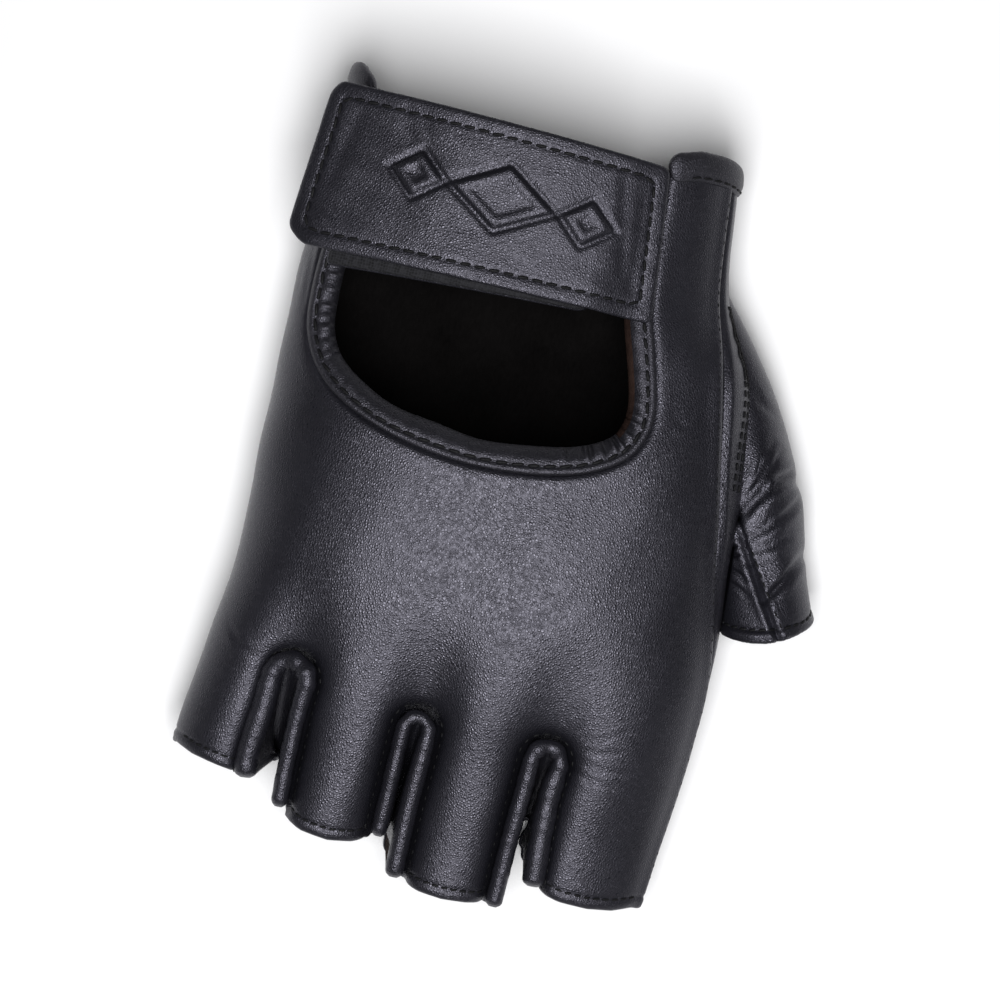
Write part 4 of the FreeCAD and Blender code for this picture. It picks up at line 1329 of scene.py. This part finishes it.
strap = leather_sheet("strap_top_leather", [STRAP_LOOP], strap_surface, STRAP_LEATHERS, 0.6, thickness=0.9)
lining_outline = rounded(inset(STRAP_PLAN, 0.35), 1.2)
strap_lining = layer("strap_lining", lining_outline, "lining", STRAP_LEATHERS, 1.2, 1.0)
hook = layer("hook_strip", rounded(HOOK_PLAN, 1.0), "hooks", [HOOK_LOOK, HOOK_LOOK], 1.2, 1.0)
tab = layer("tab_base_leather", rounded(TAB_PLAN, 1.2), "tab", STRAP_LEATHERS, 1.2, 1.1)
pile = layer("loop_pile_strip", rounded(inset(TAB_PLAN, 0.4), 1.0), "pile", [LOOP_LOOK, LOOP_LOOK], 1.0, 1.3)
settle_on_strap(strap, "strap_leather")
settle_on_strap(strap_lining, "strap_backing")
settle(hook, "strap", "hook_tape", "hook_tape")
settle(tab, "closure_tab", "black_leather", "tab_leather")
settle(pile, "closure_tab", "loop_tape", "loop_tape")

# ---- stitches

FINGER_SPANS = {"little": (-43.6, -31.6), "ring": (-19.4, -3.2), "middle": (7.0, 23.0), "index": (34.4, 53.0)}
ROOT_SEAM = [
    (40.3, 51), (42.6, 46.5), (44.6, 43), (46.4, 40), (48.3, 36), (49.5, 32), (50.4, 27), (51.3, 20),
    (51.8, 15),
]


def capsule(rings=5, sides=6):
    """Points and faces of a small closed capsule of unit length and width along X."""
    points = [(-0.5, 0, 0)]
    for i in range(1, rings + 1):
        at = math.pi * i / (rings + 1)
        radius = 0.5 * math.sin(at) ** 0.55
        for k in range(sides):
            turn = 2 * math.pi * k / sides
            points.append((-0.5 * math.cos(at), radius * math.cos(turn), radius * math.sin(turn)))
    points.append((0.5, 0, 0))
    faces = [(0, 1 + (k + 1) % sides, 1 + k) for k in range(sides)]
    for i in range(rings - 1):
        for k in range(sides):
            a, b = 1 + i * sides + k, 1 + i * sides + (k + 1) % sides
            faces.append((a, b, b + sides, a + sides))
    last, base = len(points) - 1, 1 + (rings - 1) * sides
    faces += [(last, base + k, base + (k + 1) % sides) for k in range(sides)]
    return np.array(points), faces


CAPSULE = capsule()
# Degrees that each stitch turns from its line.
SLANT = 6.0


def stitches(name, lines, pitch, share=0.78, width=0.62, sink=0.12):
    """Separate stitches a pitch apart along lines of (points, normals) on the leather."""
    random = np.random.default_rng(1)
    shape, template = CAPSULE
    points, faces = [], []
    for line, normals in lines:
        both = resample(np.hstack([line, normals]), pitch)
        middles = (both[1:] + both[:-1]) / 2
        ahead = unit(both[1:, :3] - both[:-1, :3])
        for middle, along in zip(middles, ahead):
            normal = unit(middle[3:] - along * (middle[3:] @ along))
            side = np.cross(normal, along)
            turn = math.radians(random.normal(SLANT, 2.5))
            run = along * math.cos(turn) + side * math.sin(turn)
            side = np.cross(normal, run)
            scale = pitch * share * random.uniform(0.94, 1.06)
            local = shape * [scale, width, width * 0.8]
            bow = -1.4 * sink * (2 * shape[:, 0]) ** 2
            placed = middle[:3] + local[:, :1] * run + local[:, 1:2] * side
            placed = placed + (local[:, 2:] + bow[:, None] + width * 0.22 - sink) * normal
            faces += [tuple(index + len(points) * len(shape) for index in face) for face in template]
            points.append(placed)
    return make_object(name, np.vstack(points), faces, [THREAD])


def thread_piece(node, lines, **shape):
    """Separate stitches that stand for one of the shell's stitch lines."""
    piece = stitches(f"{node}_stitches", lines, **shape)
    return settle(piece, "glove_shell", "thread", node)


def opening_stitch_line():
    """The binding's groove, with normals off the leather."""
    groove = lip[:, GROOVE_COLUMN]
    across = lip[:, GROOVE_COLUMN + 1] - lip[:, GROOVE_COLUMN - 1]
    out = unit(np.cross(np.gradient(groove, axis=0), across))
    out *= np.sign(out[:, 2:])
    visible = groove[:, 1] < 72
    return groove[visible], out[visible]


def hem_line(finger):
    left, right = FINGER_SPANS[finger]
    x = resample([[left], [right]], 0.5)[:, 0]
    return back_line(np.column_stack([x, finger_end(finger, x) + 1.9]))


def wrist_stitch_lines():
    """The wrist roll's groove at its two ends, with normals out of the roll."""
    line = wrist_roll[:, WRIST_GROOVE_COLUMN]
    proud = unit(line - wrist_roll[:, WRIST_GROOVE_COLUMN + wrist_roll.shape[1] // 2])
    return [(line[part], proud[part]) for part in (slice(14, 118), slice(378, 408))]


def root_stitch_lines():
    """Two rows along the seam that joins the thumb's root to the palm panel."""
    seam = smooth_line(ROOT_SEAM, 0.6)
    flat = PALM.from_angle(back_angle(seam), seam[:, 1])
    return [palm_surface(flat - [offset, 0]) for offset in (0.9, 3.0)]


thread_piece("opening_thread", [opening_stitch_line()], pitch=3.2, width=0.8, share=0.78, sink=0.02)
for slit in SLITS:
    line = back_line(slit_line(slit, 2.1, 0.8), -0.05)
    thread_piece(f"{slit}_slit_thread", [line], pitch=2.3, width=0.46, share=0.6)
for finger in FINGER_SPANS:
    thread_piece(f"{finger}_hem_thread", [hem_line(finger)], pitch=2.0, width=0.6, share=0.74, sink=0.02)

side_y = np.arange(71.5, -66, -0.8)
radial = BACK.from_angle(seam_angle(side_y) - 5.5, side_y)
thread_piece("radial_seam_thread", [back_surface(radial)], pitch=2.5, width=0.34, share=0.5)
ulnar = BACK.from_angle(-4.0, side_y[side_y > -60])
thread_piece("ulnar_seam_thread", [back_surface(ulnar)], pitch=2.5, width=0.45)
thread_piece("wrist_thread", wrist_stitch_lines(), pitch=2.6, width=0.62, sink=0.0)

root = stitches("thumb_root_stitches", root_stitch_lines(), 2.1, 0.72, 0.6, 0.0)
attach(root, "glove_shell")
tube_y = np.arange(5.0, -9.5, -0.5)
thread_piece("thumb_seam_thread", [thumb_surface(tube_y, thumb("seam", tube_y) + 9.0)], pitch=2.3, width=0.42)
angles = np.linspace(20, 262, 90)
hem_y = np.array([rim_y(angle) for angle in angles]) + 2.0
thread_piece("thumb_hem_thread", [thumb_surface(hem_y, angles)], pitch=2.1, width=0.62, sink=0.02)

strap_line = resample(closed_line(STRAP_STITCH), 0.5)
strap_threads = stitches("strap_stitches", [strap_surface(strap_line)], 2.9, 0.78, 0.72, 0.02)
settle_on_strap(strap_threads, "strap_thread")


# ---- floor, lights and camera

floor_look = Nodes("pale_floor")
dust = floor_look.noise(18, 3, 0.5)
floor_look.wire(
    Base_Color=floor_look.ramp(dust, [(0.3, (0.86, 0.86, 0.87)), (0.7, (0.90, 0.90, 0.91))]), Roughness=0.6)
mesh = bpy.data.meshes.new("floor")
mesh.from_pydata([(-3, -3, -0.0003), (3, -3, -0.0003), (3, 3, -0.0003), (-3, 3, -0.0003)], [], [(0, 1, 2, 3)])
mesh.materials.append(floor_look.material)
floor = bpy.data.objects.new("floor", mesh)
bpy.context.scene.collection.objects.link(floor)


def soft_light(name, place, target, width, height, power):
    lamp = bpy.data.lights.new(name, "AREA")
    lamp.shape = "RECTANGLE"
    lamp.size, lamp.size_y, lamp.energy = width, height, power
    holder = bpy.data.objects.new(name, lamp)
    holder.location = place
    holder.rotation_euler = (Vector(target) - Vector(place)).to_track_quat("-Z", "Y").to_euler()
    bpy.context.scene.collection.objects.link(holder)


VIEW_TURN = math.radians(15)
RIGHT = np.array([math.cos(VIEW_TURN), math.sin(VIEW_TURN), 0])
UP = np.array([-math.sin(VIEW_TURN), math.cos(VIEW_TURN), 0])
CENTRE = to_row([5.8, 1.55, 27.0])


def in_view(right, up, height):
    """A place given in the picture's directions from the glove's middle, in metres."""
    return tuple(CENTRE + RIGHT * right + UP * up + np.array([0, 0, height]))


soft_light("overhead_softbox", in_view(-0.01, -0.23, 1.08), CENTRE, 0.42, 0.66, 16)

world = bpy.data.worlds.new("studio")
world.use_nodes = True
world.node_tree.nodes["Background"].inputs["Color"].default_value = (1, 1, 1, 1)
world.node_tree.nodes["Background"].inputs["Strength"].default_value = 0.05
bpy.context.scene.world = world
bpy.context.scene.view_settings.view_transform = "Standard"

camera = bpy.data.cameras.new("camera")
camera.sensor_width = 36
camera.lens = 200
camera.clip_end = 20
holder = bpy.data.objects.new("camera", camera)
holder.location = CENTRE + np.array([0, 0, 0.2 * 200 / 36])
holder.rotation_euler = (0, 0, VIEW_TURN)
bpy.context.scene.collection.objects.link(holder)
bpy.context.scene.camera = holder
